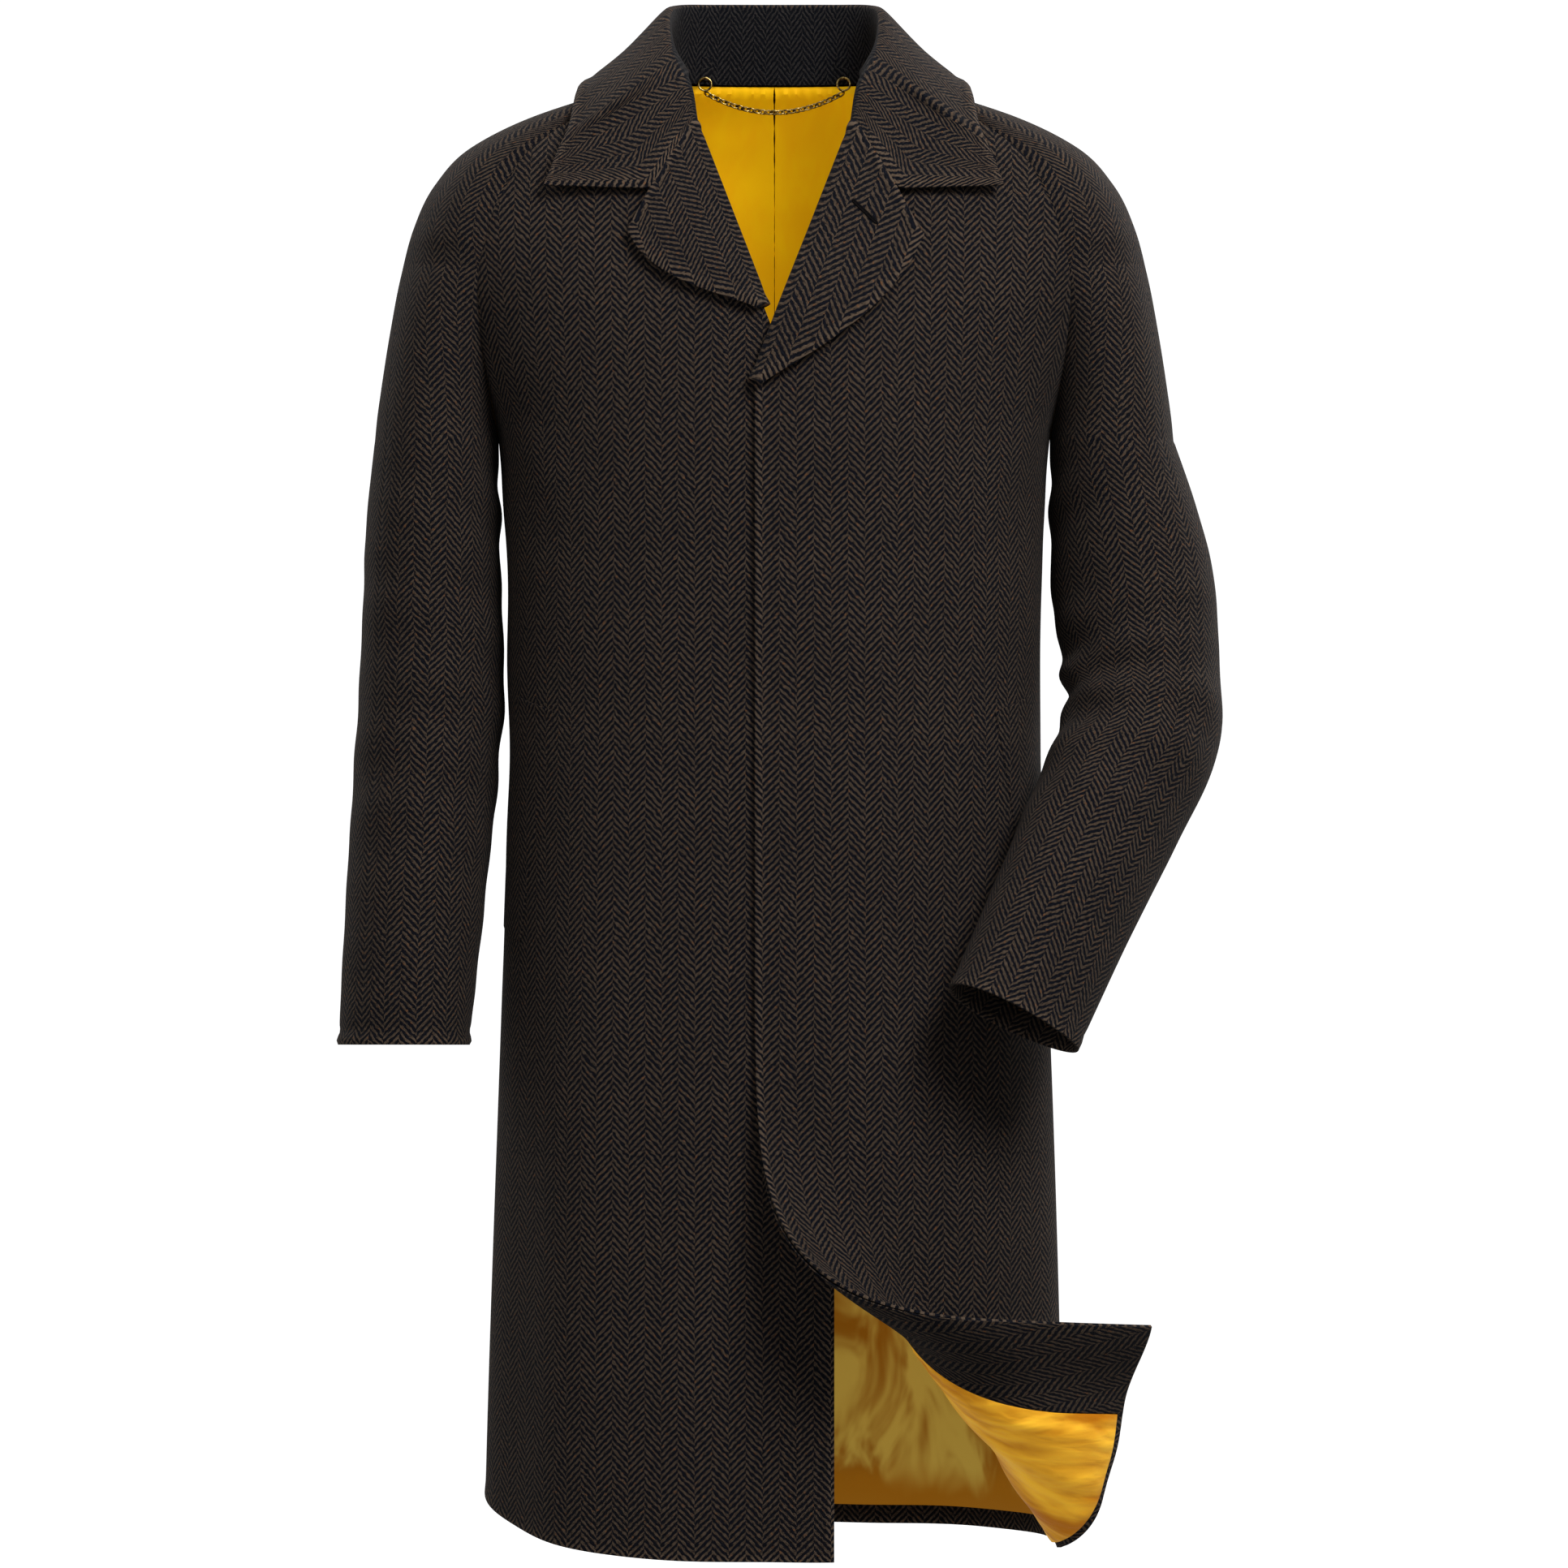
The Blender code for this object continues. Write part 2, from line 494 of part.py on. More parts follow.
def collar_profiles():
    """The collar's underside at each station from the centre back to the gorge, by its columns."""
    profiles = []
    for seam, fold, fall, edge in np.array(COLLAR):
        outside = unit(fall - fold)
        keys = np.stack([seam, mix(seam, fold, 0.86), fold + outside * 0.003, fall, edge])
        profiles.append(curve(COLLAR_COLUMNS, (0, 0.30, 0.42, 0.72, 1.0), keys))
    turn = np.linspace(0, math.pi, 6)
    distance, radius, girth, height, raised = COLLAR_FRONT
    start = by_fold(distance, 0.0018 + radius * np.sin(turn), radius * (1 - np.cos(turn)))
    share = (COLLAR_COLUMNS[6:] - 0.42) / 0.58
    tilt = np.array([math.sin(ROLL_TILT), math.cos(ROLL_TILT)]) * distance
    girths, heights = mix(tilt[0], girth, share), mix(ROLL_START + tilt[1], height, share)
    fall = plain(girths, heights, -mix(2 * radius, raised, share) - 0.001 * np.sin(share * math.pi))
    profiles.append(np.concatenate([start, fall]))
    distance = GORGE + GORGE_GAP
    start = by_fold(distance, 2 * SEAM + COLLAR_ROLL * np.sin(turn), COLLAR_ROLL * (1 - np.cos(turn)))
    share = (COLLAR_COLUMNS[6:10] - 0.42) / 0.30
    reach = share * LAPEL_TOP[1][0]
    width = LAPEL_EDGE[-1][1]
    line = np.interp(reach, column(LAPEL_TOP, 0), column(LAPEL_TOP, 1)) + GORGE_GAP
    gorge = by_fold(line, -reach * width, 2 * COLLAR_ROLL + 0.003 * np.sin(reach * math.pi))
    leading = mix(gorge[-1], np.array(COLLAR_TIP), ((COLLAR_COLUMNS[10:] - 0.72) / 0.28)[:, None])
    profiles.append(np.concatenate([start, gorge, leading]))
    return np.array(profiles)


def collar_grids(rows, depths):
    """The collar's surface at rows from -1 to 1, moved from its underside by each depth."""
    half = collar_profiles()
    stations = np.concatenate([half[:0:-1] * [-1, 1, 1], half])
    stops = np.linspace(-1, 1, len(stations))
    under = np.stack([curve(rows, stops, stations[:, n]) for n in range(len(COLLAR_COLUMNS))], 1)
    normal = unit(np.cross(np.gradient(under, axis=0), np.gradient(under, axis=1)))
    return [under + normal * depth for depth in depths]


def collar(name, material):
    """The collar in one piece: up the stand, over its fold and down the fall, round the whole neck."""
    under, top = collar_grids(np.linspace(-1, 1, 35), (0, COLLAR_CLOTH))
    return sew(name, top, under, material)


def hanger_tab(name, side, material):
    """A strip sewn inside the back of the neck, holding the hanger chain's ring."""
    rows = np.sort(side * np.array(TAB_ROWS))
    ends = np.array([0.05, 0.9])[None, :, None]
    grids = collar_grids(rows, (COLLAR_CLOTH + 0.001, COLLAR_CLOTH + 0.0018))
    under, top = [mix(grid[:, 0:1], grid[:, 2:3], ends) for grid in grids]
    return sew(name, top, under, material)


def tube(name, centres, radius, sides, closed, material):
    """A round bar along a line of points."""
    mesh = bmesh.new()
    centres = np.array(centres)
    ahead = np.roll(centres, -1, 0) - np.roll(centres, 1, 0) if closed else np.gradient(centres, axis=0)
    ahead = unit(ahead)
    across = unit(np.cross(ahead, np.array([0.02, 1, 0.01])))
    upward = np.cross(ahead, across)
    rings = []
    for centre, one, two in zip(centres, across, upward):
        turns = np.arange(sides) * 2 * math.pi / sides
        points = [centre + radius * (one * math.cos(t) + two * math.sin(t)) for t in turns]
        rings.append([mesh.verts.new(p) for p in points])
    for here, there in zip(rings, rings[1:] + (rings[:1] if closed else [])):
        for n in range(sides):
            m = (n + 1) % sides
            mesh.faces.new([here[n], here[m], there[m], there[n]])
    if not closed:
        mesh.faces.new(rings[0])
        mesh.faces.new(rings[-1])
    return finish(name, mesh, material)


def hanger(brass):
    """The brass hanger chain, as a plain tube along its sag, between two rings inside the neck."""
    (left, y, height), radius, wire, sag, thick = HANGER_RING, *HANGER_SIZES
    for word, side in (("left", 1), ("right", -1)):
        turns = np.linspace(0, 2 * math.pi, 17)[:-1]
        ring_line = [(side * left + radius * math.sin(t), y, height + radius * math.cos(t)) for t in turns]
        tube(word + "_hanger_ring", ring_line, wire, 6, True, brass)
    share = np.linspace(-1, 1, 25)
    top = height - radius - wire - thick - 0.0006
    line = np.stack([share * (left - 0.0005), y + 0 * share, top - sag * (1 - share ** 2)], -1)
    tube("hanger_chain", line, thick, 6, False, brass)


def welt(name, side, material):
    girth_from, girth_to, top, bottom, slant = POCKET

    def place(u, v, depth):
        girth = mix(girth_from, girth_to, u) + slant * (1 - v)
        height = mix(bottom, top, v) + POCKET_RISE * u
        return place_on(side, girth, height, depth - WELT_CLOTH - WELT_GAP)

    return wall(name, np.linspace(0, 1, 6), np.linspace(0, 1, 6), place, WELT_CLOTH, material)


def main():
    for item in list(bpy.data.objects):
        bpy.data.objects.remove(item)
    tweed = make_material("herringbone", CLOTH_COLOUR, 0.9)
    satin = make_material("satin", LINING_COLOUR, 0.35)
    brass = make_material("brass", BRASS, 0.4, 1.0)
    for word, side in (("left", 1), ("right", -1)):
        front(word + "_front", side, tweed)
        sleeve_half(word + "_sleeve_front", side, False, tweed)
        sleeve_half(word + "_sleeve_back", side, True, tweed)
        lapel(word + "_lapel", side, tweed)
        welt(word + "_pocket_welt", side, tweed)
        hanger_tab(word + "_hanger_tab", side, tweed)
    wall("back", np.linspace(-1, 1, 17), LOW_ROWS, back_place, CLOTH, tweed)
    back_lining("left_back_lining", (0, 1), (HALF_SEAM, 0.0008, 0), satin)
    back_lining("right_back_lining", (-1, 0), (0.0008, HALF_SEAM, 0), satin)
    collar("collar", tweed)
    inside_front("left_facing", tweed, 0, 5, 0, (0.001, HALF_SEAM, 0.001))
    inside_front("left_front_lining", satin, 5, 18, 1, (HALF_SEAM, 0.0008, 0))
    hanger(brass)


main()
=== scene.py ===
# %% [markdown]
# # A herringbone raglan coat
# This lesson dresses the plain solids of a man's knee-length coat. The coat keeps the shape of a
# wearer, with nobody in it. Every piece of cloth is a flat grid that a function bends to the coat's
# own form, so the weave can be drawn on the grid as it lay on the cutting table.

# %% Load the packed model
import math

import bmesh
import bpy
import numpy as np
from mathutils import Matrix, Vector


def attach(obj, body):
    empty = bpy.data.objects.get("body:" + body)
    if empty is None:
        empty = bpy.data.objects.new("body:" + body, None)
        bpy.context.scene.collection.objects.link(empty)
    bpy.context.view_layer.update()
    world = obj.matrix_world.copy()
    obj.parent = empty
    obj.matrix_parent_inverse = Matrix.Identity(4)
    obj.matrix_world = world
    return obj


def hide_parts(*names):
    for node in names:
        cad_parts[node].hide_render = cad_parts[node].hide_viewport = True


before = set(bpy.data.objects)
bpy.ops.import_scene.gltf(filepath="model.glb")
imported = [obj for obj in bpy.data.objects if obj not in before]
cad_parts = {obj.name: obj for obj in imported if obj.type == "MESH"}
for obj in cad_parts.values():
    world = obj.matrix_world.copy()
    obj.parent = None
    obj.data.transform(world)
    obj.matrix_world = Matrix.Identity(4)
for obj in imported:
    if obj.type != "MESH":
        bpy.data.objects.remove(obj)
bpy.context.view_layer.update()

# %% [markdown]
# ## The coat's sizes
# A pattern cutter works from a table of sizes. These first ones are in metres, with the middle of the
# neck at the origin, -Y in front and +X on the wearer's left. Each part's own sizes stand where that
# part is shaped, so changing a part never means a search through the file.

# %% Sizes
COAT_LENGTH, ARMPIT, NECK = 1.082, -0.270, -0.008
CLOTH, LINING, SEAM, LAYER_GAP = 0.002, 0.0008, 0.00002, 0.0005
SIDES = (("left", 1), ("right", -1))
print("coat length:", COAT_LENGTH, "m, cloth:", CLOTH * 1000, "mm thick")

# %% [markdown]
# ## Curves through the sections
# A smooth curve through a handful of values is all the tables need. A cubic between each pair of
# stops, whose slopes come from its neighbours, passes through every value and never kinks.

# %% Curve helpers
def curve(at, stops, values):
    stops, values, at = np.asarray(stops, float), np.asarray(values, float), np.asarray(at, float)
    slopes = np.gradient(values, stops, axis=0)
    k = np.clip(np.searchsorted(stops, at) - 1, 0, len(stops) - 2)
    gap = stops[k + 1] - stops[k]
    t = np.clip((at - stops[k]) / gap, 0, 1)
    if values.ndim > 1:
        t, gap = t[..., None], gap[..., None]
    start, end = 2 * t**3 - 3 * t**2 + 1, 3 * t**2 - 2 * t**3
    lean_out, lean_in = (t**3 - 2 * t**2 + t) * gap, (t**3 - t**2) * gap
    return start * values[k] + lean_out * slopes[k] + end * values[k + 1] + lean_in * slopes[k + 1]


def column(table, number):
    return [row[number] for row in table]


def ease(t):
    t = np.clip(t, 0, 1)
    return t * t * (3 - 2 * t)


def mix(a, b, share):
    return a + (b - a) * share


def unit(vectors):
    return vectors / np.maximum(np.linalg.norm(vectors, axis=-1, keepdims=True), 1e-12)


print("half way between 0 and 1:", float(curve(0.5, (0, 1), (0, 1))))

# %% [markdown]
# ## Sections of the trunk
# A section is the coat's size at one height. A solid could be lofted through sections, but these only
# say where cloth goes. The body's rows run up to the armpit. The chest's rows go on to the neck, and
# also say where the raglan seam and the ridge of the shoulder lie.

# %% Trunk sections
ROUNDNESS = 2.3
BODY = (  # height, half_width, front, back
    (-1.130, 0.2110, 0.152, 0.150), (-1.000, 0.2085, 0.150, 0.149), (-0.850, 0.2050, 0.147, 0.146),
    (-0.700, 0.2010, 0.144, 0.141), (-0.580, 0.1975, 0.141, 0.134), (-0.470, 0.1955, 0.140, 0.130),
    (-0.380, 0.1970, 0.142, 0.135), (-0.330, 0.1983, 0.1435, 0.140), (-0.295, 0.2003, 0.1445, 0.143),
    (-0.270, 0.2030, 0.145, 0.145),
)
CHEST = (  # height, front, back, seam_x, seam_front, seam_back, ridge_x, ridge_y, ridge_z, deep
    (-0.270, 0.145, 0.145, 0.2030, 0.0001, 0.0001, 0.2940, 0.000, -0.272, 0.080),
    (-0.255, 0.144, 0.147, 0.2050, 0.0220, 0.0260, 0.2925, 0.000, -0.256, 0.080),
    (-0.235, 0.143, 0.149, 0.2085, 0.0420, 0.0470, 0.2895, 0.001, -0.234, 0.081),
    (-0.195, 0.139, 0.152, 0.2140, 0.0650, 0.0750, 0.2830, 0.003, -0.192, 0.084),
    (-0.155, 0.130, 0.152, 0.2150, 0.0800, 0.0950, 0.2750, 0.004, -0.150, 0.088),
    (-0.124, 0.120, 0.146, 0.2087, 0.0830, 0.1000, 0.2660, 0.005, -0.116, 0.092),
    (-0.091, 0.108, 0.134, 0.1955, 0.0790, 0.0980, 0.2500, 0.006, -0.083, 0.089),
    (-0.0625, 0.096, 0.120, 0.1776, 0.0710, 0.0900, 0.2240, 0.007, -0.056, 0.081),
    (-0.040, 0.084, 0.103, 0.1480, 0.0600, 0.0770, 0.1830, 0.008, -0.035, 0.069),
    (-0.020, 0.072, 0.083, 0.1130, 0.0490, 0.0620, 0.1340, 0.008, -0.019, 0.056),
    (-0.008, 0.062, 0.066, 0.0820, 0.0400, 0.0500, 0.0880, 0.008, -0.005, 0.045),
)
print("sections of the trunk:", len(BODY) + len(CHEST), "half width at the armpit:", BODY[-1][1])

# %% [markdown]
# ## The trunk of the coat
# Round the body the coat is an oval at every height, a little squarer than an ellipse. Its front half
# and its back half have depths of their own, so each is worked out alone, and they meet at the sides.

# %% Rings round the trunk
def half_width(depth, seam_x, seam_depth):
    return seam_x / np.maximum(1 - (seam_depth / depth) ** ROUNDNESS, 1e-6) ** (1 / ROUNDNESS)


def ring_sizes(height):
    low = [curve(height, column(BODY, 0), column(BODY, n)) for n in (1, 1, 2, 3)]
    front, back, seam_x, seam_front, seam_back = [
        curve(height, column(CHEST, 0), column(CHEST, n)) for n in (1, 2, 3, 4, 5)]
    high = (half_width(front, seam_x, seam_front), half_width(back, seam_x, seam_back), front, back)
    return [np.where(height < ARMPIT, a, b) for a, b in zip(low, high)]


def ring(angle, height):
    wide_front, wide_back, front, back = ring_sizes(height)
    ahead = np.cos(angle) > 0
    wide, deep = np.where(ahead, wide_front, wide_back), np.where(ahead, front, back)
    power = np.abs(np.sin(angle) / wide) ** ROUNDNESS + np.abs(np.cos(angle) / deep) ** ROUNDNESS
    radius = power ** (-1 / ROUNDNESS)
    return np.stack([radius * np.sin(angle), -radius * np.cos(angle), height + 0 * angle], -1)


print("side of the chest:", np.round(ring(math.pi / 2, ARMPIT), 3))

# %% [markdown]
# ## Measuring round the trunk
# An angle is easy to draw with, but cloth is measured along its surface. Short steps added up round
# each ring give the girth at every angle. The same table read backwards gives the angle at a girth.

# %% Girth tables
HEIGHTS, ANGLES = np.linspace(-1.16, NECK + 0.004, 2400), np.linspace(0, math.pi, 481)
GIRTHS = np.linspace(0, 0.70, 701)
rings = ring(ANGLES[None, :], np.repeat(HEIGHTS[:, None], len(ANGLES), 1))
steps = np.linalg.norm(np.diff(rings, axis=1), axis=-1)
GIRTH_AT = np.concatenate([np.zeros((len(HEIGHTS), 1)), np.cumsum(steps, axis=1)], axis=1)
ANGLE_AT = np.array([np.interp(GIRTHS, row, ANGLES) for row in GIRTH_AT])


def read_table(table, height, across, across_values):
    row = np.clip((height - HEIGHTS[0]) / (HEIGHTS[1] - HEIGHTS[0]), 0, len(HEIGHTS) - 1.001)
    step = across_values[1] - across_values[0]
    place = np.clip((across - across_values[0]) / step, 0, len(across_values) - 1.001)
    i, j = row.astype(int), place.astype(int)
    lower = mix(table[i, j], table[i, j + 1], place - j)
    return mix(lower, mix(table[i + 1, j], table[i + 1, j + 1], place - j), row - i)


def girth_of(angle, height):
    return read_table(GIRTH_AT, np.asarray(height, float), np.asarray(angle, float), ANGLES)


print("hem girth:", round(2 * float(girth_of(math.pi, -COAT_LENGTH)), 3), "m")

# %% [markdown]
# ## Points and directions on the trunk
# A point on the trunk is found by its girth from the centre front and its height. Cloth that stands
# off it also needs the directions round, up and outwards there, which its near neighbours give.

# %% Points on the trunk
def body(girth, height):
    girth, height = np.broadcast_arrays(np.asarray(girth, float), np.asarray(height, float))
    points = ring(read_table(ANGLE_AT, height, np.abs(girth), GIRTHS), height)
    points[..., 0] *= np.where(girth < 0, -1, 1)
    return points


def frame_at(girth, height):
    step = 0.003
    here = body(girth, height)
    around = unit(body(girth + step, height) - body(girth - step, height))
    up = unit(body(girth, height + step) - body(girth, height - step))
    out = unit(np.cross(around, up))
    return here, around, np.cross(out, around), out


def side_girth(height):
    return girth_of(math.pi / 2 + 0 * height, height)


def raglan_girth(height, back=False):
    x = curve(height, column(CHEST, 0), column(CHEST, 3))
    number, sign = (5, -1) if back else (4, 1)
    return girth_of(np.arctan2(x, sign * curve(height, column(CHEST, 0), column(CHEST, number))), height)


print("raglan seam at the armpit:", round(float(raglan_girth(ARMPIT)), 3), "m round")

# %% [markdown]
# ## Soft folds
# Heavy cloth that hangs free swings in broad, shallow waves, deepest at the hem and gone at the
# chest. The same wave moves the cloth and its lining, so neither cuts through the other.

# %% Soft folds
def ripple(girth, height):
    free = ease((-0.34 - height) / 0.62)
    broad = 0.0030 * np.sin(girth * 34 + 0.8 + 1.5 * height) + 0.0016 * np.sin(girth * 61 + 2.0 - 3 * height)
    creases = 0.0011 * np.sin(height * 46 + girth * 15 + 0.7) * np.sin(girth * 21 + 1.0)
    waist = np.exp(-((height + 0.43) / 0.13) ** 2)
    drag = 0.0012 * np.sin((np.abs(girth) - 0.9 * height) * 60) * np.exp(-((height + 0.30) / 0.05) ** 2)
    edges = ease((np.abs(girth) - 0.10) / 0.07) * ease((0.29 - np.abs(girth)) / 0.05)
    centre_back = 1 - ease((np.abs(girth) - 0.50) / 0.07)
    return (broad * free + creases * waist + drag * edges * (height < -0.262)) * centre_back


print("deepest fold at the hem:",
      round(float(np.abs(ripple(GIRTHS, -COAT_LENGTH + 0 * GIRTHS)).max()) * 1000, 1), "mm")

# %% [markdown]
# ## Where each panel lies
# The fronts reach from their free edge to the side seam, and above the armpit to the raglan seam. A
# panel is measured as it is cut: its rows run from the hem up to the neck, and its columns from one
# edge to the other, so its seams fall on the edges of its grid.

# %% Panels
RIGHT_HEM_RISE, UNDERLAP, OVERLAP = 0.045, 0.043, 0.0135
FACING_LINE, LINING_HEM = 0.0745, 0.014
ROLL_START, ROLL_TILT = -0.2, math.atan(0.381)


def hem_height(girth, side):
    share = np.clip(np.abs(girth) / 0.30, 0, 2)
    return -COAT_LENGTH + np.where(np.less(side, 0), RIGHT_HEM_RISE * np.minimum(share, 2 - share) ** 2.7, 0)


def fold_girth(height):
    return (height - ROLL_START) * math.tan(ROLL_TILT)


def row_height(share, girth, side):
    low = mix(hem_height(girth, side), ARMPIT, np.minimum(share, 1))
    return np.where(share <= 1, low, mix(ARMPIT, NECK, share - 1))


def panel_edge(share, side, trim, back=False):
    level = row_height(share, 0.30 + 0 * share, side)
    above = raglan_girth(np.maximum(level, ARMPIT), back)
    return np.where(share <= 1, side_girth(level), above) + trim


def front_girth(u, v, side):
    height = row_height(v, 0 * v, side)
    first = np.maximum(-OVERLAP if side > 0 else -UNDERLAP, fold_girth(height))
    last = panel_edge(v, side, -SEAM / 2)
    split = mix(FACING_LINE, mix(first, last, 0.4), np.clip(v - 1, 0, 1))
    return np.where(u < 1, mix(first, split, u), mix(split, last, u - 1)), first


print("left front at the hem:", np.round(front_girth(np.array([0.0, 2.0]), np.zeros(2), 1)[0], 3), "m round")

# %% [markdown]
# ## Laid on the trunk or turned back
# The left front lies over the right one and stands a little off it. Its lower corner rolls back about a
# slanting fold, like a page that is being turned. A modifier could bend it, but a formula lets the
# facing and the lining roll with the cloth, each at its own depth.

# %% Cloth on the trunk
FLY_LIFT, FLY_BLEND = 0.0048, (0.05, 0.12)
CORNER_FOLD_TOP, CORNER_FOLD_END = (-0.0135, -0.703), (0.2664, -1.1064)
CORNER_ROLL, CORNER_TURN = (0.0973, 0.0117), 2.91


def lift(girth, height):
    fade = 1 - ease((np.abs(girth) - FLY_BLEND[0]) / (FLY_BLEND[1] - FLY_BLEND[0]))
    return FLY_LIFT * fade * (1 - ease((height - ROLL_START - 0.01) / 0.07))


def turned(girth, height, depth):
    along = np.subtract(CORNER_FOLD_END, CORNER_FOLD_TOP)
    length = np.linalg.norm(along)
    along = along / length
    down = np.array([along[1], -along[0]])
    from_top = np.stack([girth - CORNER_FOLD_TOP[0], height - CORNER_FOLD_TOP[1]], -1)
    past = np.maximum(from_top @ down, 0)
    radius = mix(*CORNER_ROLL, np.clip(from_top @ along / length, 0, 1))
    foot = np.stack([girth, height], -1) - past[..., None] * down
    here, around, up, out = frame_at(foot[..., 0], foot[..., 1])
    forward = around * down[0] + up * down[1]
    angle = np.minimum(past / radius, CORNER_TURN)
    straight = (past - angle * radius)[..., None]
    raised = (lift(girth, height) + ripple(girth, height) - depth)[..., None]
    radius = radius[..., None]
    sine, cosine = np.sin(angle)[..., None], np.cos(angle)[..., None]
    rolled = here + out * radius + (radius - raised) * (forward * sine - out * cosine)
    return rolled + straight * (forward * cosine + out * sine)


def plain(girth, height, depth, side=1):
    here, _, _, out = frame_at(girth, height)
    here = here - out * (depth - ripple(side * girth, height))[..., None]
    return here * np.stack([side + 0 * girth, 1 + 0 * girth, 1 + 0 * girth], -1)


print("a point of the turned corner:", np.round(turned(np.array([0.2]), np.array([-1.0]), np.zeros(1))[0], 3))

# %% [markdown]
# ## Sections of the sleeves
# Below the armpit each section of a sleeve is a whole oval with a centre of its own. The left arm bends
# forwards at the elbow, so its lower ovals lean and tip. The overarm seam drifts forwards on its way
# down, which is why its angle has a small table too.

# %% Sleeve sections
RIGHT_SLEEVE = (  # x, y, z, across, deep, lean, tip
    (0.2485, 0.000, -0.2710, 0.0455, 0.080, 0, 0), (0.2515, 0.000, -0.3300, 0.0490, 0.078, 0, 0),
    (0.2530, -0.002, -0.3830, 0.0508, 0.073, 0, 0), (0.2535, -0.006, -0.4546, 0.0535, 0.067, 0, 2),
    (0.2575, -0.012, -0.5263, 0.0530, 0.062, 0, 4), (0.2623, -0.022, -0.5980, 0.0512, 0.058, 0, 5),
    (0.2668, -0.032, -0.6700, 0.0492, 0.054, 0, 4), (0.2695, -0.037, -0.7148, 0.0475, 0.052, 0, 2),
)
LEFT_SLEEVE = (  # x, y, z, across, deep, lean, tip
    (0.2485, 0.000, -0.2710, 0.0455, 0.080, 0, 0), (0.2575, -0.002, -0.3250, 0.0540, 0.078, 4, 0),
    (0.2650, -0.008, -0.3780, 0.0600, 0.074, 6, 3), (0.2700, -0.022, -0.4330, 0.0580, 0.068, 2, 8),
    (0.2685, -0.048, -0.4860, 0.0580, 0.062, -14, 14), (0.2405, -0.084, -0.5450, 0.0555, 0.056, -23, 18),
    (0.2060, -0.124, -0.6150, 0.0525, 0.051, -25, 18), (0.1700, -0.162, -0.6910, 0.0510, 0.047, -26, 14),
)
OVERARM = ((0.0, 90), (0.5, 70), (1.0, 48), (2.0, 42))  # share of the sleeve, angle of its overarm seam
print("sections of each sleeve:", len(LEFT_SLEEVE))

# %% [markdown]
# ## Rings of a sleeve
# A raglan sleeve runs up to the neck. Above the armpit its rings are open: they start and end on the
# raglan seam and swell out to the shoulder's ridge. Both kinds of ring share one form, so that a single
# surface runs from neck to cuff.

# %% Sleeve rings
def sleeve_ring(side, share):
    height = mix(NECK, ARMPIT, np.minimum(share, 1))
    seam_x, seam_front, seam_back, x, y, z, deep = [
        curve(height, column(CHEST, 0), column(CHEST, n)) for n in (3, 4, 5, 6, 7, 8, 9)]
    half = (seam_front + seam_back) / 2
    deep = np.maximum(deep, half)
    start = -np.arccos(np.clip(half / deep, 0, 1))
    middle = np.stack([seam_x, (seam_back - seam_front) / 2, height], -1)
    ridge = np.stack([x, y, z], -1)
    outward = (ridge - middle) / (1 - np.sin(start))[..., None]
    centre = ridge - outward
    forward = np.stack([0 * deep, -deep, 0 * deep], -1)
    table = LEFT_SLEEVE if side > 0 else RIGHT_SLEEVE
    low = [curve(share, np.linspace(1, 2, len(table)), column(table, n)) for n in range(7)]
    lean, tip = np.radians(low[5]), np.radians(low[6])
    low_out = np.stack([low[3] * np.cos(lean), 0 * lean, low[3] * np.sin(lean)], -1)
    low_forward = np.stack([0 * tip, -low[4] * np.cos(tip), low[4] * np.sin(tip)], -1)
    below = (share > 1)[..., None]
    return np.where(below, np.stack(low[:3], -1), centre), np.where(below, low_forward, forward), \
        np.where(below, low_out, outward), np.where(share > 1, -math.pi / 2, start)


print("neck end of the left sleeve:", np.round(sleeve_ring(1, np.zeros(1))[0][0], 3))

# %% [markdown]
# ## Crumples in the sleeves
# Cloth that bends with an arm crumples on the inner side of the elbow. A simulation could find such
# folds, but a few short waves that come and go round the bend do it too, and are the same every time.

# %% Sleeve surface
def crumple(side, angle, share):
    bend, reach = (1.52, 0.20) if side > 0 else (1.50, 0.30)
    near = np.exp(-((share - bend) / reach) ** 2)
    inner = 0.5 + 0.5 * np.cos(angle + (0.9 if side > 0 else 0.4))
    waves = 0.0022 * np.sin(share * 62 + 2.2 * np.cos(angle - 0.6)) + 0.0014 * np.sin(share * 41 - 3 * angle)
    long_fold = 0.0016 * np.sin(3 * angle + 1.2 + 4 * share) * ease((share - 1.05) / 0.3)
    armpit = 0.0018 * np.sin(share * 50 + 3 * angle) * np.exp(-((share - 1.12) / 0.07) ** 2) * \
        (0.5 - 0.5 * np.sin(angle))
    strength = 1.0 if side > 0 else 0.5
    return (waves * near * inner * strength + long_fold + armpit) * ease((share - 1.0) / 0.06)


def sleeve_place(side, back):
    def place(u, v):
        centre, forward, outward, start = sleeve_ring(side, v)
        over = np.radians(curve(v, column(OVERARM, 0), column(OVERARM, 1)))
        wide, deep = np.linalg.norm(outward, axis=-1), np.linalg.norm(forward, axis=-1)
        trim = SEAM / 2 / np.minimum(wide, deep) * 1.3
        first = np.where(back, math.pi - start - trim, start + trim)
        angle = mix(first, over + np.where(back, trim, -trim), u)
        sine, cosine = np.sin(angle)[..., None], np.cos(angle)[..., None]
        wide, deep = wide[..., None], deep[..., None]
        normal = unit(forward / deep * cosine / deep + outward / wide * sine / wide)
        point = centre + forward * cosine + outward * sine + normal * crumple(side, angle, v)[..., None]
        return point * [side, 1, 1]
    return place


print("left cuff at:", np.round(sleeve_place(1, False)(np.ones(1), 2 * np.ones(1))[0], 3))

# %% [markdown]
# ## Lapels
# A lapel is the top of the front itself, rolled over at its crease and laid back on the chest. Its
# points are measured along and across that crease. It bulges in the middle and its edge lifts a little
# off the chest, because pressed cloth never lies quite flat.

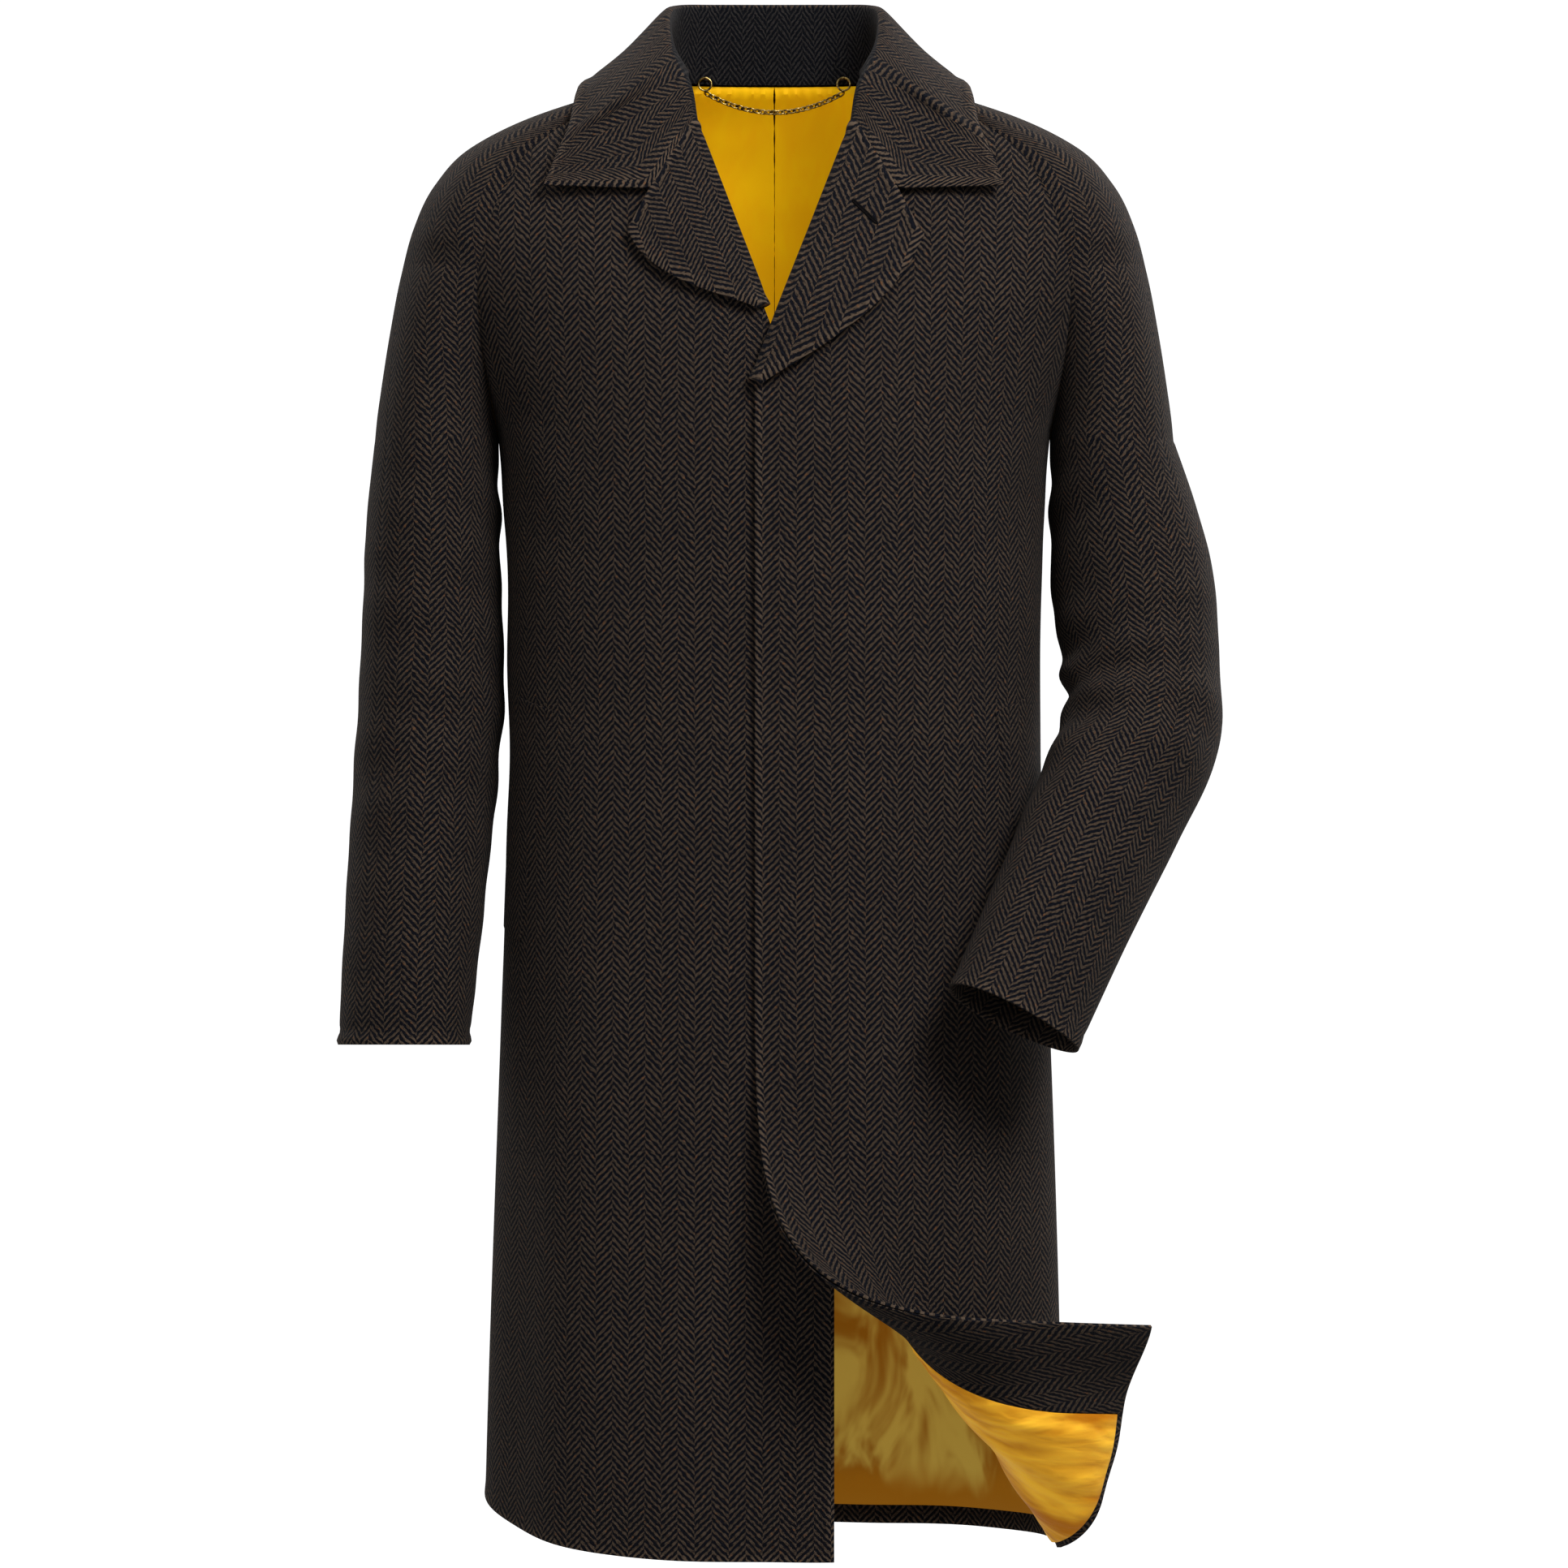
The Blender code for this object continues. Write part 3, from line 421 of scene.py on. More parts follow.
# %% Lapels
LAPEL, LAPEL_ROLL, LAPEL_TURN, GORGE = 0.0030, 0.0012, 0.4, 0.165
LAPEL_BULGE, LAPEL_EDGE_LIFT = 0.003, 0.0035
LAPEL_EDGE = ((0.0, 0.003), (0.25, 0.030), (0.5, 0.052), (0.8, 0.068), (1.0, 0.0715))  # share, width
LAPEL_TOP = ((0.0, GORGE), (0.64, 0.127), (1.0, 0.104))  # share of the width, distance along the fold
LEFT_LAPEL_WIDER, RIGHT_LAPEL_START = 1.05, 0.020


def by_fold(distance, forward, raised, side=1, lifted=False):
    along = np.array([math.sin(ROLL_TILT), math.cos(ROLL_TILT)])
    girth = distance * along[0] - forward * along[1]
    height = ROLL_START + distance * along[1] + forward * along[0]
    raised = raised + (lift(girth, height) if lifted else 0)
    return plain(girth, height, -raised, side)


def lapel_width(share):
    return curve(share, column(LAPEL_EDGE, 0), column(LAPEL_EDGE, 1))


def lapel_end(reach):
    return np.interp(reach, column(LAPEL_TOP, 0), column(LAPEL_TOP, 1))


def lapel_bulge(reach):
    return LAPEL_BULGE * np.sin(reach * math.pi) + LAPEL_EDGE_LIFT * reach**2


def lapel_place(side):
    low = -OVERLAP / math.sin(ROLL_TILT) if side > 0 else RIGHT_LAPEL_START
    wider = LEFT_LAPEL_WIDER if side > 0 else 1

    def place(u, v):
        reach = np.maximum(u, 0)
        width = wider * lapel_width(v)
        top = lapel_end(reach * wider) - SEAM
        turn = np.clip((u + LAPEL_TURN) / LAPEL_TURN, 0, 1) * math.pi
        forward = np.where(u < 0, SEAM + LAPEL_ROLL * np.sin(turn), SEAM - reach * width)
        raised = LAPEL_ROLL * (1 - np.cos(turn)) + lapel_bulge(reach)
        return by_fold(mix(low, top, v), forward, raised, side, side > 0)
    return place


print("tip of the left lapel:", np.round(lapel_place(1)(np.ones(1), np.ones(1))[0], 3))

# %% [markdown]
# ## Collar
# The collar starts beside the lapels, climbs into a stand behind the neck, folds over and falls again
# outside. Each station is one line across it, from its seam to its edge. The last two stations follow
# the roll of the front and the gorge, so that collar and lapel lie together.

# %% Collar stations
COLLAR_CLOTH, GORGE_GAP, COLLAR_ROLL, COLLAR_TIP = 0.0025, 0.0010, 0.0016, (0.1660, -0.1015, -0.0915)
STAND_SHARE, FOLD_SHARE, GORGE_END, FOLD_STOP = 0.28, 0.42, 0.30 / 0.58, 11
COLLAR = (  # seam_xyz, fold_xyz, fall_xyz, edge_xyz
    ((0.000, 0.0620, -0.0035), (0.000, 0.0560, 0.0560), (0.000, 0.0860, 0.018), (0.000, 0.1020, -0.028)),
    ((0.045, 0.0580, -0.0035), (0.043, 0.0520, 0.0555), (0.060, 0.0820, 0.017), (0.070, 0.0980, -0.026)),
    ((0.074, 0.0360, -0.0030), (0.069, 0.0320, 0.0530), (0.096, 0.0520, 0.018), (0.117, 0.0660, -0.016)),
    ((0.083, 0.0060, -0.0010), (0.0765, 0.0030, 0.0460), (0.110, 0.0060, 0.014), (0.138, 0.0080, -0.010)),
    ((0.0790, -0.0220, -0.0010), (0.0765, -0.0290, 0.0270),
     (0.111, -0.0380, 0.002), (0.143, -0.0440, -0.021)),
    ((0.0650, -0.0455, -0.0035), (0.0730, -0.0560, 0.0060),
     (0.109, -0.0810, -0.023), (0.1475, -0.0800, -0.048)),
)
COLLAR_FRONT = (0.190, 0.0045, 0.155, -0.071, 0.0085)
COLLAR_STOPS = np.concatenate([np.linspace(0, STAND_SHARE, 5)[:-1], np.linspace(STAND_SHARE, FOLD_SHARE, 8),
                               np.linspace(FOLD_SHARE, 1, 22)[1:]])


def collar_profiles():
    profiles = []
    for seam, fold, fall, edge in np.array(COLLAR):
        keys = np.stack([seam, mix(seam, fold, 0.86), fold + unit(fall - fold) * 0.003, fall, edge])
        profiles.append(curve(COLLAR_STOPS, (0, 0.30, FOLD_SHARE, 0.72, 1.0), keys))
    rolling = (0, 0.15, STAND_SHARE, 0.34, 0.38, FOLD_SHARE)
    turn = np.append(np.interp(COLLAR_STOPS[:FOLD_STOP], rolling, np.linspace(0, math.pi, 6)), math.pi)
    share = (COLLAR_STOPS[FOLD_STOP + 1:] - FOLD_SHARE) / (1 - FOLD_SHARE)
    distance, radius, girth, height, raised = COLLAR_FRONT
    start = by_fold(distance + 0 * turn, 0.0018 + radius * np.sin(turn), radius * (1 - np.cos(turn)))
    tilt = np.array([math.sin(ROLL_TILT), math.cos(ROLL_TILT)]) * distance
    girths, heights = mix(tilt[0], girth, share), mix(ROLL_START + tilt[1], height, share)
    fall = plain(girths, heights, -mix(2 * radius, raised, share) - 0.001 * np.sin(share * math.pi))
    profiles.append(np.concatenate([start, fall]))
    start = by_fold(GORGE + GORGE_GAP + 0 * turn, 2 * SEAM + COLLAR_ROLL * np.sin(turn),
                    COLLAR_ROLL * (1 - np.cos(turn)))
    reach = np.minimum(share / GORGE_END, 1) * LAPEL_TOP[1][0]
    raised = 2 * COLLAR_ROLL + LAPEL_BULGE * np.sin(reach * math.pi)
    gorge = by_fold(lapel_end(reach) + GORGE_GAP, -reach * LAPEL_EDGE[-1][1], raised)
    lead = np.clip((share - GORGE_END) / (1 - GORGE_END), 0, 1)[:, None]
    profiles.append(np.concatenate([start, mix(gorge, np.array(COLLAR_TIP), lead)]))
    return np.array(profiles)


half = collar_profiles()
STATIONS = np.concatenate([half[:0:-1] * [-1, 1, 1], half])
print("collar stations:", len(STATIONS), "columns:", len(COLLAR_STOPS))

# %% [markdown]
# ## The collar's surface
# Between stations the surface is a smooth curve. Across it the stops are close enough for straight
# steps, which keeps the sharp fold from swinging wide as a curve through it would.

# %% Collar surface
def collar_place(u, v):
    stops = np.linspace(-1, 1, len(STATIONS))
    dense = curve(v.ravel(), stops, STATIONS.reshape(len(STATIONS), -1)).reshape(v.size, -1, 3)
    place = np.interp(u.ravel(), COLLAR_STOPS, np.arange(len(COLLAR_STOPS)))
    k = np.minimum(place.astype(int), len(COLLAR_STOPS) - 2)
    row = np.arange(v.size)
    return mix(dense[row, k], dense[row, k + 1], (place - k)[:, None]).reshape(v.shape + (3,))


print("collar at the centre back:", np.round(collar_place(np.ones(1), np.zeros(1))[0], 3))

# %% [markdown]
# ## From a flat grid to a piece of cloth
# Each piece is a grid made by one operator. A function carries its points to the coat's surface, and
# the UV map keeps where they lay in the flat cloth, in metres, so the weave keeps its real size.

# %% Flat grids
FINENESS = 1.0


def cells(across, up):
    return round(across * FINENESS), round(up * FINENESS)


def arc_lengths(grid, axis):
    steps = np.linalg.norm(np.diff(grid, axis=axis), axis=-1)
    start = np.zeros_like(np.take(steps, [0], axis=axis))
    return np.cumsum(np.concatenate([start, steps], axis=axis), axis=axis)


def lay_from_last_column(u, v, wide, long):
    return wide - wide[:, -1:], long[:, -1:] + 0 * wide


def no_free_edge(u, v, x, y):
    return 1 + 0 * u


def flat_grid(name, across, up, flip):
    mesh = bmesh.new()
    mesh.loops.layers.uv.new("cloth")
    bmesh.ops.create_grid(mesh, x_segments=across, y_segments=up, size=0.5)
    if flip:
        bmesh.ops.reverse_faces(mesh, faces=mesh.faces)
    data = bpy.data.meshes.new(name)
    mesh.to_mesh(data)
    mesh.free()
    return data


print("share of the full number of cells:", FINENESS)

# %% [markdown]
# ## Thickness and edges
# Solidify gives the cloth its thickness, and a small bevel rounds the cut edges. The distance to the
# nearest free edge is stored too, because heavy cloth is thickest there, where it is folded over itself.

# %% Cloth helper
SHEETS = []


def cloth(name, cells, place, span, thick, material, node, flip=False, lay=lay_from_last_column,
          rim=no_free_edge, bead=0.0, offset=-1):
    """One piece of cloth: span is u from, u to, v from and v to, and cells are its faces both ways."""
    across, up = cells
    data = flat_grid(name, across, up, flip)
    flat = np.zeros(len(data.vertices) * 3)
    data.vertices.foreach_get("co", flat)
    col, row = [np.rint((flat[n::3] + 0.5) * count).astype(int) for n, count in ((0, across), (1, up))]
    v, u = np.meshgrid(np.linspace(*span[2:], up + 1), np.linspace(*span[:2], across + 1), indexing="ij")
    grid = place(u, v)
    wide, long = arc_lengths(grid, 1), arc_lengths(grid, 0)
    x, y = lay(u, v, wide, long)
    edge = rim(u, v, x, y)
    normal = unit(np.cross(np.gradient(grid, axis=1), np.gradient(grid, axis=0))) * (-1 if flip else 1)
    ridge, groove = np.exp(-((edge - 0.0035) / 0.0035) ** 2), np.exp(-((edge - 0.011) / 0.003) ** 2)
    points = grid + normal * (bead * (ridge - 0.3 * groove))[..., None]
    data.vertices.foreach_set("co", points[row, col].astype(np.float32).ravel())
    corner = np.zeros(len(data.loops), int)
    data.loops.foreach_get("vertex_index", corner)
    places = np.stack([x, y], -1)[row, col][corner]
    data.uv_layers["cloth"].data.foreach_set("uv", places.astype(np.float32).ravel())
    stored = data.attributes.new("edge", "FLOAT", "POINT")
    stored.data.foreach_set("value", edge[row, col].astype(np.float32))
    data.shade_smooth()
    data.update()
    data.materials.append(material)
    piece = bpy.data.objects.new(name, data)
    bpy.context.scene.collection.objects.link(piece)
    walls = piece.modifiers.new("thickness", "SOLIDIFY")
    walls.thickness, walls.offset = thick, offset
    rounded = piece.modifiers.new("rounded edges", "BEVEL")
    rounded.width, rounded.segments = thick * 0.35, 2
    rounded.limit_method, rounded.angle_limit = "ANGLE", math.radians(50)
    area = sum(face.area for face in data.polygons)
    SHEETS.append((piece, float(wide[:, -1].max()), float(long[-1].max()), area))
    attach(piece, "root")
    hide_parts(node)
    print(f"{name}: {SHEETS[-1][1]:.3f} x {SHEETS[-1][2]:.3f} m, {area:.4f} m2, {len(data.polygons)} faces")
    return piece


print("pieces of cloth so far:", len(SHEETS))

# %% [markdown]
# ## Shader maths in Python
# A weave is arithmetic on the flat cloth's coordinates. This class wraps a socket, so the arithmetic
# can be written as Python and each operator adds its Math node. One method adds any other node.

# %% Wire class
class Wire:
    def __init__(self, tree, socket=None):
        self.tree, self.socket = tree, socket

    def node(self, kind, settings, inputs, output=0):
        made = self.tree.nodes.new(kind)
        for key, value in settings.items():
            setattr(made, key, value)
        for key, value in inputs.items():
            if isinstance(value, Wire):
                self.tree.links.new(value.socket, made.inputs[key])
            else:
                made.inputs[key].default_value = value
        return Wire(self.tree, made.outputs[output])

    def maths(self, operation, *values):
        return self.node("ShaderNodeMath", {"operation": operation}, dict(enumerate(values)))

    def __add__(self, other):
        return self.maths("ADD", self, other)

    def __sub__(self, other):
        return self.maths("SUBTRACT", self, other)

    def __rsub__(self, other):
        return self.maths("SUBTRACT", other, self)

    def __mul__(self, other):
        return self.maths("MULTIPLY", self, other)

    def __truediv__(self, other):
        return self.maths("DIVIDE", self, other)

    def __rtruediv__(self, other):
        return self.maths("DIVIDE", other, self)

    __radd__, __rmul__ = __add__, __mul__

    def between(self, low, high):
        names = {"Value": self, "From Min": low, "From Max": high}
        return self.node("ShaderNodeMapRange", {"interpolation_type": "SMOOTHSTEP"}, names)

    def blend(self, first, second):
        """The first colour where this wire is 0, and the second where it is 1."""
        colours = [c if isinstance(c, Wire) else (*c, 1) for c in (first, second)]
        return self.node("ShaderNodeMix", {"data_type": "RGBA"}, {0: self, 6: colours[0], 7: colours[1]}, 2)

    def noise(self, scale, detail=2.0, distortion=0.0):
        names = {"Vector": self, "Scale": scale, "Detail": detail, "Distortion": distortion}
        return self.node("ShaderNodeTexNoise", {}, names)


print("reflected operators:", [name for name in vars(Wire) if name.startswith("__r")])

# %% [markdown]
# ## Starting and finishing a material
# Each material starts from the Principled shader with a few even settings, and ends with a bump. Relief
# that is half a millimetre deep could be real faces, but a weave would need millions of them.

# %% Material helpers
def new_material(name, roughness, metallic, **uniform):
    material = bpy.data.materials.new(name)
    material.use_nodes = True
    shader = material.node_tree.nodes["Principled BSDF"]
    shader.inputs["Roughness"].default_value = roughness
    shader.inputs["Metallic"].default_value = metallic
    for key, value in uniform.items():
        shader.inputs[key.replace("_", " ")].default_value = value
    return material, Wire(material.node_tree), shader


def finish_with(material, shader, colour, height, strength, distance):
    inputs = {"Strength": strength, "Distance": distance, "Height": height}
    bump = height.node("ShaderNodeBump", {}, inputs)
    material.node_tree.links.new(colour.socket, shader.inputs["Base Color"])
    material.node_tree.links.new(bump.socket, shader.inputs["Normal"])
    print(material.name, "has", len(material.node_tree.nodes), "nodes")
    return material


print("materials so far:", len(bpy.data.materials))

# %% [markdown]
# ## Herringbone
# In herringbone, fine diagonal ribs run up in one column and down in the next, so they meet in rows of
# points. The distance up the cloth plus a zigzag of the distance across it gives the ribs. Each rib is
# brown and tan yarn on a blue-black ground, broken into short floats, with stray rust-coloured fibres.

# %% Herringbone cloth
COLUMN, RIB = 0.0122, 0.0052


def herringbone(name, ground, brown, tan, rust):
    material, wire, shader = new_material(name, 0.95, 0.0, Specular_IOR_Level=0.08, Sheen_Weight=0.02)
    flat = wire.node("ShaderNodeUVMap", {"uv_map": "cloth"}, {})
    edge = wire.node("ShaderNodeAttribute", {"attribute_name": "edge"}, {}, 2).between(0.002, 0.007)
    across = wire.node("ShaderNodeSeparateXYZ", {}, {0: flat})
    up = wire.node("ShaderNodeSeparateXYZ", {}, {0: flat}, 1)
    wobble = flat.noise(150.0, 3.0) - 0.5
    fibre, stray, broad = flat.noise(1700.0), flat.noise(330.0, 1.0), flat.noise(22.0)
    across = across + wobble * 0.0018 + 10.0
    up = up + wobble * 0.0022 + 10.0
    odd = wire.maths("MODULO", wire.maths("FLOOR", across / COLUMN), 2.0)
    zigzag = wire.maths("PINGPONG", across, COLUMN)
    floats = wire.node("ShaderNodeCombineXYZ", {},
                       {0: (up + zigzag) * 900.0, 1: (up - zigzag) * 230.0, 2: odd * 7.0})
    strand = floats.noise(1.0)
    rib = wire.maths("PINGPONG", (up + zigzag) / RIB + odd * 0.5, 0.5) * 2.0
    mask = (rib + (strand - 0.5) * 1.3 + (fibre - 0.5) * 0.6).between(0.42, 0.76)
    yarn = (strand * 0.5 + fibre * 0.5).between(0.36, 0.64)
    base = yarn.blend([c * 0.4 for c in ground], [c * 1.3 for c in ground])
    ribs = (yarn * 0.8 + broad * 0.3 - 0.06).blend([c * 0.5 for c in brown], tan)
    colour = (mask * 0.94).blend(base, ribs)
    # Within a few millimetres of a free edge the ribs are blended towards a lighter tan: a painted highlight
    # along the rolled edge.
    colour = ((1.0 - edge) * mask * 0.35).blend(colour, [c * 1.6 for c in tan])
    colour = (stray.between(0.64, 0.72) * mask * 0.5).blend(colour, rust)
    return finish_with(material, shader, colour, mask * 0.6 + strand * 0.5 + fibre * 0.35, 0.6, 0.0010)


INK = (0.0032, 0.0038, 0.0068)
TWEED = herringbone("herringbone cloth", INK, (0.044, 0.030, 0.021),
                    (0.088, 0.062, 0.043), (0.16, 0.062, 0.020))
# A darker copy of the cloth: painted shade for the inside of the collar's stand and the hanger tabs.
PAINTED_SHADE_CLOTH = herringbone("herringbone with painted shade", (0.0030, 0.0035, 0.0055), (0.016, 0.015, 0.015),
                    (0.034, 0.030, 0.029), (0.04, 0.03, 0.03))

# %% [markdown]
# ## Satin and brass
# The lining is a closely woven satin: smooth, with a soft shine that shows every pucker. It lies flat
# in the neck. On the turned corner it is loose and crumpled. The chain is old brass, with random patches of
# dark tarnish.

# %% Satin and brass
# Painted shade for the lower back lining, deep inside the coat, with a darker band of it at the hem.
SHADE_DEEP, SHADE_LIGHT, SHADE_AT_HEM = (0.24, 0.090, 0.004), (0.46, 0.31, 0.050), (0.30, 0.115, 0.004)


def satin(name, light, deep, crumple, roughness, painted_glow, shaded_below):
    material, wire, shader = new_material(name, roughness, 0.0, Specular_IOR_Level=0.12,
                                          Emission_Strength=painted_glow)
    flat = wire.node("ShaderNodeUVMap", {"uv_map": "cloth"}, {})
    slanted = {"Vector": flat, "Scale": (1.0, 0.42, 1.0), "Rotation": (0, 0, 0.5)}
    drawn = wire.node("ShaderNodeMapping", {}, slanted)
    broad, fine, weave = drawn.noise(26.0, 3.0, 0.8), drawn.noise(95.0, 2.0, 0.4), flat.noise(2600.0, 1.0)
    # The colour follows the same noise as the bump. On the turned corner this is a painted highlight on the
    # ridges of the crumples and painted shade in their hollows; in the neck the two golds are close.
    colour = (broad * 0.8 + fine * 0.2).between(0.36, 0.64).blend(deep, light)
    # Below the middle of the back the lining takes painted shade, darker still along the hem.
    if shaded_below:
        up = wire.node("ShaderNodeSeparateXYZ", {}, {0: flat}, 1)
        painted_inside_shade = broad.between(0.38, 0.58).blend(SHADE_DEEP, SHADE_LIGHT)
        painted_inside_shade = (up + broad * 0.05).between(-1.035, -1.005).blend(SHADE_AT_HEM, painted_inside_shade)
        colour = up.between(-0.60, -0.35).blend(painted_inside_shade, colour)
    # The satin glows with its own colour, though it is no lamp: painted light that brightens it in shade.
    wire.tree.links.new(colour.socket, shader.inputs["Emission Color"])
    return finish_with(material, shader, colour, broad + fine * 0.28 + weave * 0.03, crumple, 0.006)


def old_brass():
    material, wire, shader = new_material("old brass", 0.32, 1.0)
    where = wire.node("ShaderNodeTexCoord", {}, {}, 3)
    tarnish = where.noise(420.0, 3.0)
    colour = tarnish.between(0.35, 0.65).blend((0.10, 0.065, 0.020), (0.60, 0.43, 0.15))
    return finish_with(material, shader, colour, tarnish, 0.3, 0.0002)


NECK_SATIN = satin("gold satin", (0.80, 0.45, 0.003), (0.74, 0.38, 0.003), 0.08, 0.6, 0.42, True)
CORNER_SATIN = satin("amber satin", (0.95, 0.50, 0.030), (0.46, 0.15, 0.002), 1.0, 0.38, 0.30, False)
BRASS_FINISH = old_brass()

# %% [markdown]
# ## The fronts and the back
# The flat cloth of a panel is its girth one way and its height the other. The free edges are the front
# edge below the lapel's fold and the hem, and their cloth is folded in, which makes a thick round edge.

# %% Fronts and back
def front_place(side, depth=None):
    def place(u, v):
        girth = front_girth(u, v, side)[0]
        height = row_height(v, girth, side)
        deep = 0 * girth if depth is None else depth(girth, height)
        return turned(girth, height, deep) if side > 0 else plain(girth, height, deep, -1)
    return place


def front_lay(side):
    def lay(u, v, wide, long):
        girth = front_girth(u, v, side)[0]
        return side * girth, row_height(v, girth, side)
    return lay


def front_rim(side):
    def rim(u, v, x, y):
        girth, first = front_girth(u, v, side)
        folded_back = first > (-OVERLAP if side > 0 else -UNDERLAP) + 1e-6
        return np.minimum(np.where(folded_back, 1, girth - first), y - hem_height(girth, side))
    return rim


def back_girth(u, v):
    side = np.where(u < 0, -1, 1)
    middle = girth_of(math.pi + 0 * v, row_height(v, 0.6 + 0 * v, side))
    return mix(middle, panel_edge(v, side, SEAM / 2, back=True), np.abs(u)), middle, side


def back_place(depth=None):
    def place(u, v):
        girth, _, side = back_girth(u, v)
        height = row_height(v, girth, side)
        deep = 0 * girth if depth is None else depth(girth, height)
        return plain(girth, height, deep, side)
    return place


def back_lay(u, v, wide, long):
    girth, middle, side = back_girth(u, v)
    return side * (middle - girth), row_height(v, girth, side)


def back_rim(u, v, x, y):
    girth, _, side = back_girth(u, v)
    return y - hem_height(girth, side)



BEAD = 0.0018
cloth("left_front_cloth", cells(90, 230), front_place(1), (0, 2, 0, 2), CLOTH, TWEED, "left_front",
      lay=front_lay(1), rim=front_rim(1), bead=BEAD)
cloth("right_front_cloth", cells(70, 190), front_place(-1), (0, 2, 0, 2), CLOTH, TWEED, "right_front",
      flip=True, lay=front_lay(-1), rim=front_rim(-1), bead=BEAD)
cloth("back_cloth", cells(110, 160), back_place(), (-1, 1, 0, 2), CLOTH, TWEED, "back",
      flip=True, lay=back_lay, rim=back_rim, bead=BEAD)

# %% [markdown]
# ## The linings and the facing
# They lie just inside the cloth. Satin that is cut loose crumples, but only away from the cloth, and
# not at its seams. Long soft folds cross the turned corner, and small puckers run along its seam.

# %% Linings and facing
HEM_ROW, INSIDE = LINING_HEM / (COAT_LENGTH + ARMPIT), CLOTH + LAYER_GAP


def facing_depth(girth, height):
    return INSIDE + 0 * girth


def corner_depth(girth, height):
    from_seam, from_hem = girth - FACING_LINE, height + COAT_LENGTH - 0.0057
    slope = 0.93 * girth + 0.37 * height
    long_folds = (0.5 + 0.5 * np.sin(slope * 170 + 2.4 * np.sin(height * 17 + girth * 9))) ** 2
    cross_folds = 0.5 + 0.5 * np.sin(slope * 92 - 3.0 * np.sin(girth * 21 - height * 8) + 1.0)
    puckers = (0.5 + 0.5 * np.sin(height * 620 + 3 * np.sin(height * 90))) * np.exp(-(from_seam / 0.012) ** 2)
    low = 0.5 + 0.5 * np.sin(girth * 420 + 2 * np.sin(girth * 70))
    hem = low * np.exp(-(from_hem / 0.014) ** 2)
    held = ease(from_seam / 0.004) * ease(from_hem / 0.004) * ease((side_girth(height) - girth) / 0.01)
    loose = ease(from_seam / 0.02) * ease(from_hem / 0.02)
    folds = (0.0022 * long_folds + 0.0008 * cross_folds) * loose
    return INSIDE + held * (folds + 0.0014 * puckers + 0.0010 * hem)


def back_depth(girth, height):
    from_hem = height + COAT_LENGTH - LINING_HEM
    slack = (0.5 + 0.5 * np.sin(girth * 61 + 5 * height)) * 0.0022 * ease((-0.25 - height) / 0.3)
    puckers = (0.5 + 0.5 * np.sin(girth * 640 + 2 * np.sin(girth * 90))) * 0.0007
    at_neck = np.exp(-((NECK - height) / 0.007) ** 2)
    held = ease(from_hem / 0.008) * ease((girth - side_girth(np.minimum(height, ARMPIT))) / 0.02)
    return INSIDE + slack * held + puckers * at_neck


def facing_lay(u, v, wide, long):
    girth = front_girth(u, v, 1)[0]
    height = row_height(v, girth, 1)
    return girth * 0.9 - height * 0.43, height * 0.9 + girth * 0.43


cloth("left_facing_cloth", cells(20, 160), front_place(1, facing_depth), (0.012, 0.998, 0.0015, 1),
      LINING, TWEED, "left_facing", lay=facing_lay)
cloth("left_front_lining_satin", cells(110, 260), front_place(1, corner_depth), (1.002, 1.993, 0.007, 1),
      LINING, CORNER_SATIN, "left_front_lining", lay=front_lay(1))
for word, ends in (("left", (0.0003, 0.995)), ("right", (-0.995, -0.0003))):
    cloth(word + "_back_lining_satin", cells(60, 160), back_place(back_depth), (*ends, HEM_ROW, 2.012),
          LINING, NECK_SATIN, word + "_back_lining", flip=True, lay=back_lay)

# %% [markdown]
# ## Sleeves of cloth
# A sleeve is cut in two halves, which meet along the overarm seam and again under the arm. Its flat
# cloth is measured from the overarm seam, so the columns of the weave follow the arm on both sides.

# %% Sleeves of cloth
def cuff_rim(u, v, x, y):
    return y.max() - y + 0 * x


for word, side in SIDES:
    for half_name, back in (("front", False), ("back", True)):
        node = f"{word}_sleeve_{half_name}"
        cloth(node + "_cloth", cells(44, 200), sleeve_place(side, back), (0, 1, 0, 2), CLOTH, TWEED, node,
              flip=(side > 0) != back, rim=cuff_rim, bead=BEAD)

# %% [markdown]
# ## Lapels and collar of cloth
# A lapel's columns run beside its fold, and the collar's run from its fold down to its edge. The inside
# of the stand is painted darker, as painted shade, so the collar's first columns get a second material.

# %% Lapels and collar of cloth
LAPEL_BEAD, COLLAR_BEAD, EDGE_RUN = 0.0009, 0.0011, 0.20


def lapel_lay(u, v, wide, long):
    reach = np.maximum(u, 0)
    return reach * lapel_width(v) + 0.004 * np.minimum(u, 0), mix(-0.02, lapel_end(reach), v)


def lapel_rim(u, v, x, y):
    return np.minimum(x.max(axis=1, keepdims=True) - x, (1 - v) * EDGE_RUN)


def collar_lay(u, v, wide, long):
    middle = long.shape[0] // 2
    around = long[:, [int(long.shape[1] * 0.7)]]
    return around - around[middle] + 0 * wide, wide


def collar_rim(u, v, x, y):
    return np.where(u > 0.5, np.minimum(y.max(axis=1, keepdims=True) - y, (1 - np.abs(v)) * EDGE_RUN), 1)


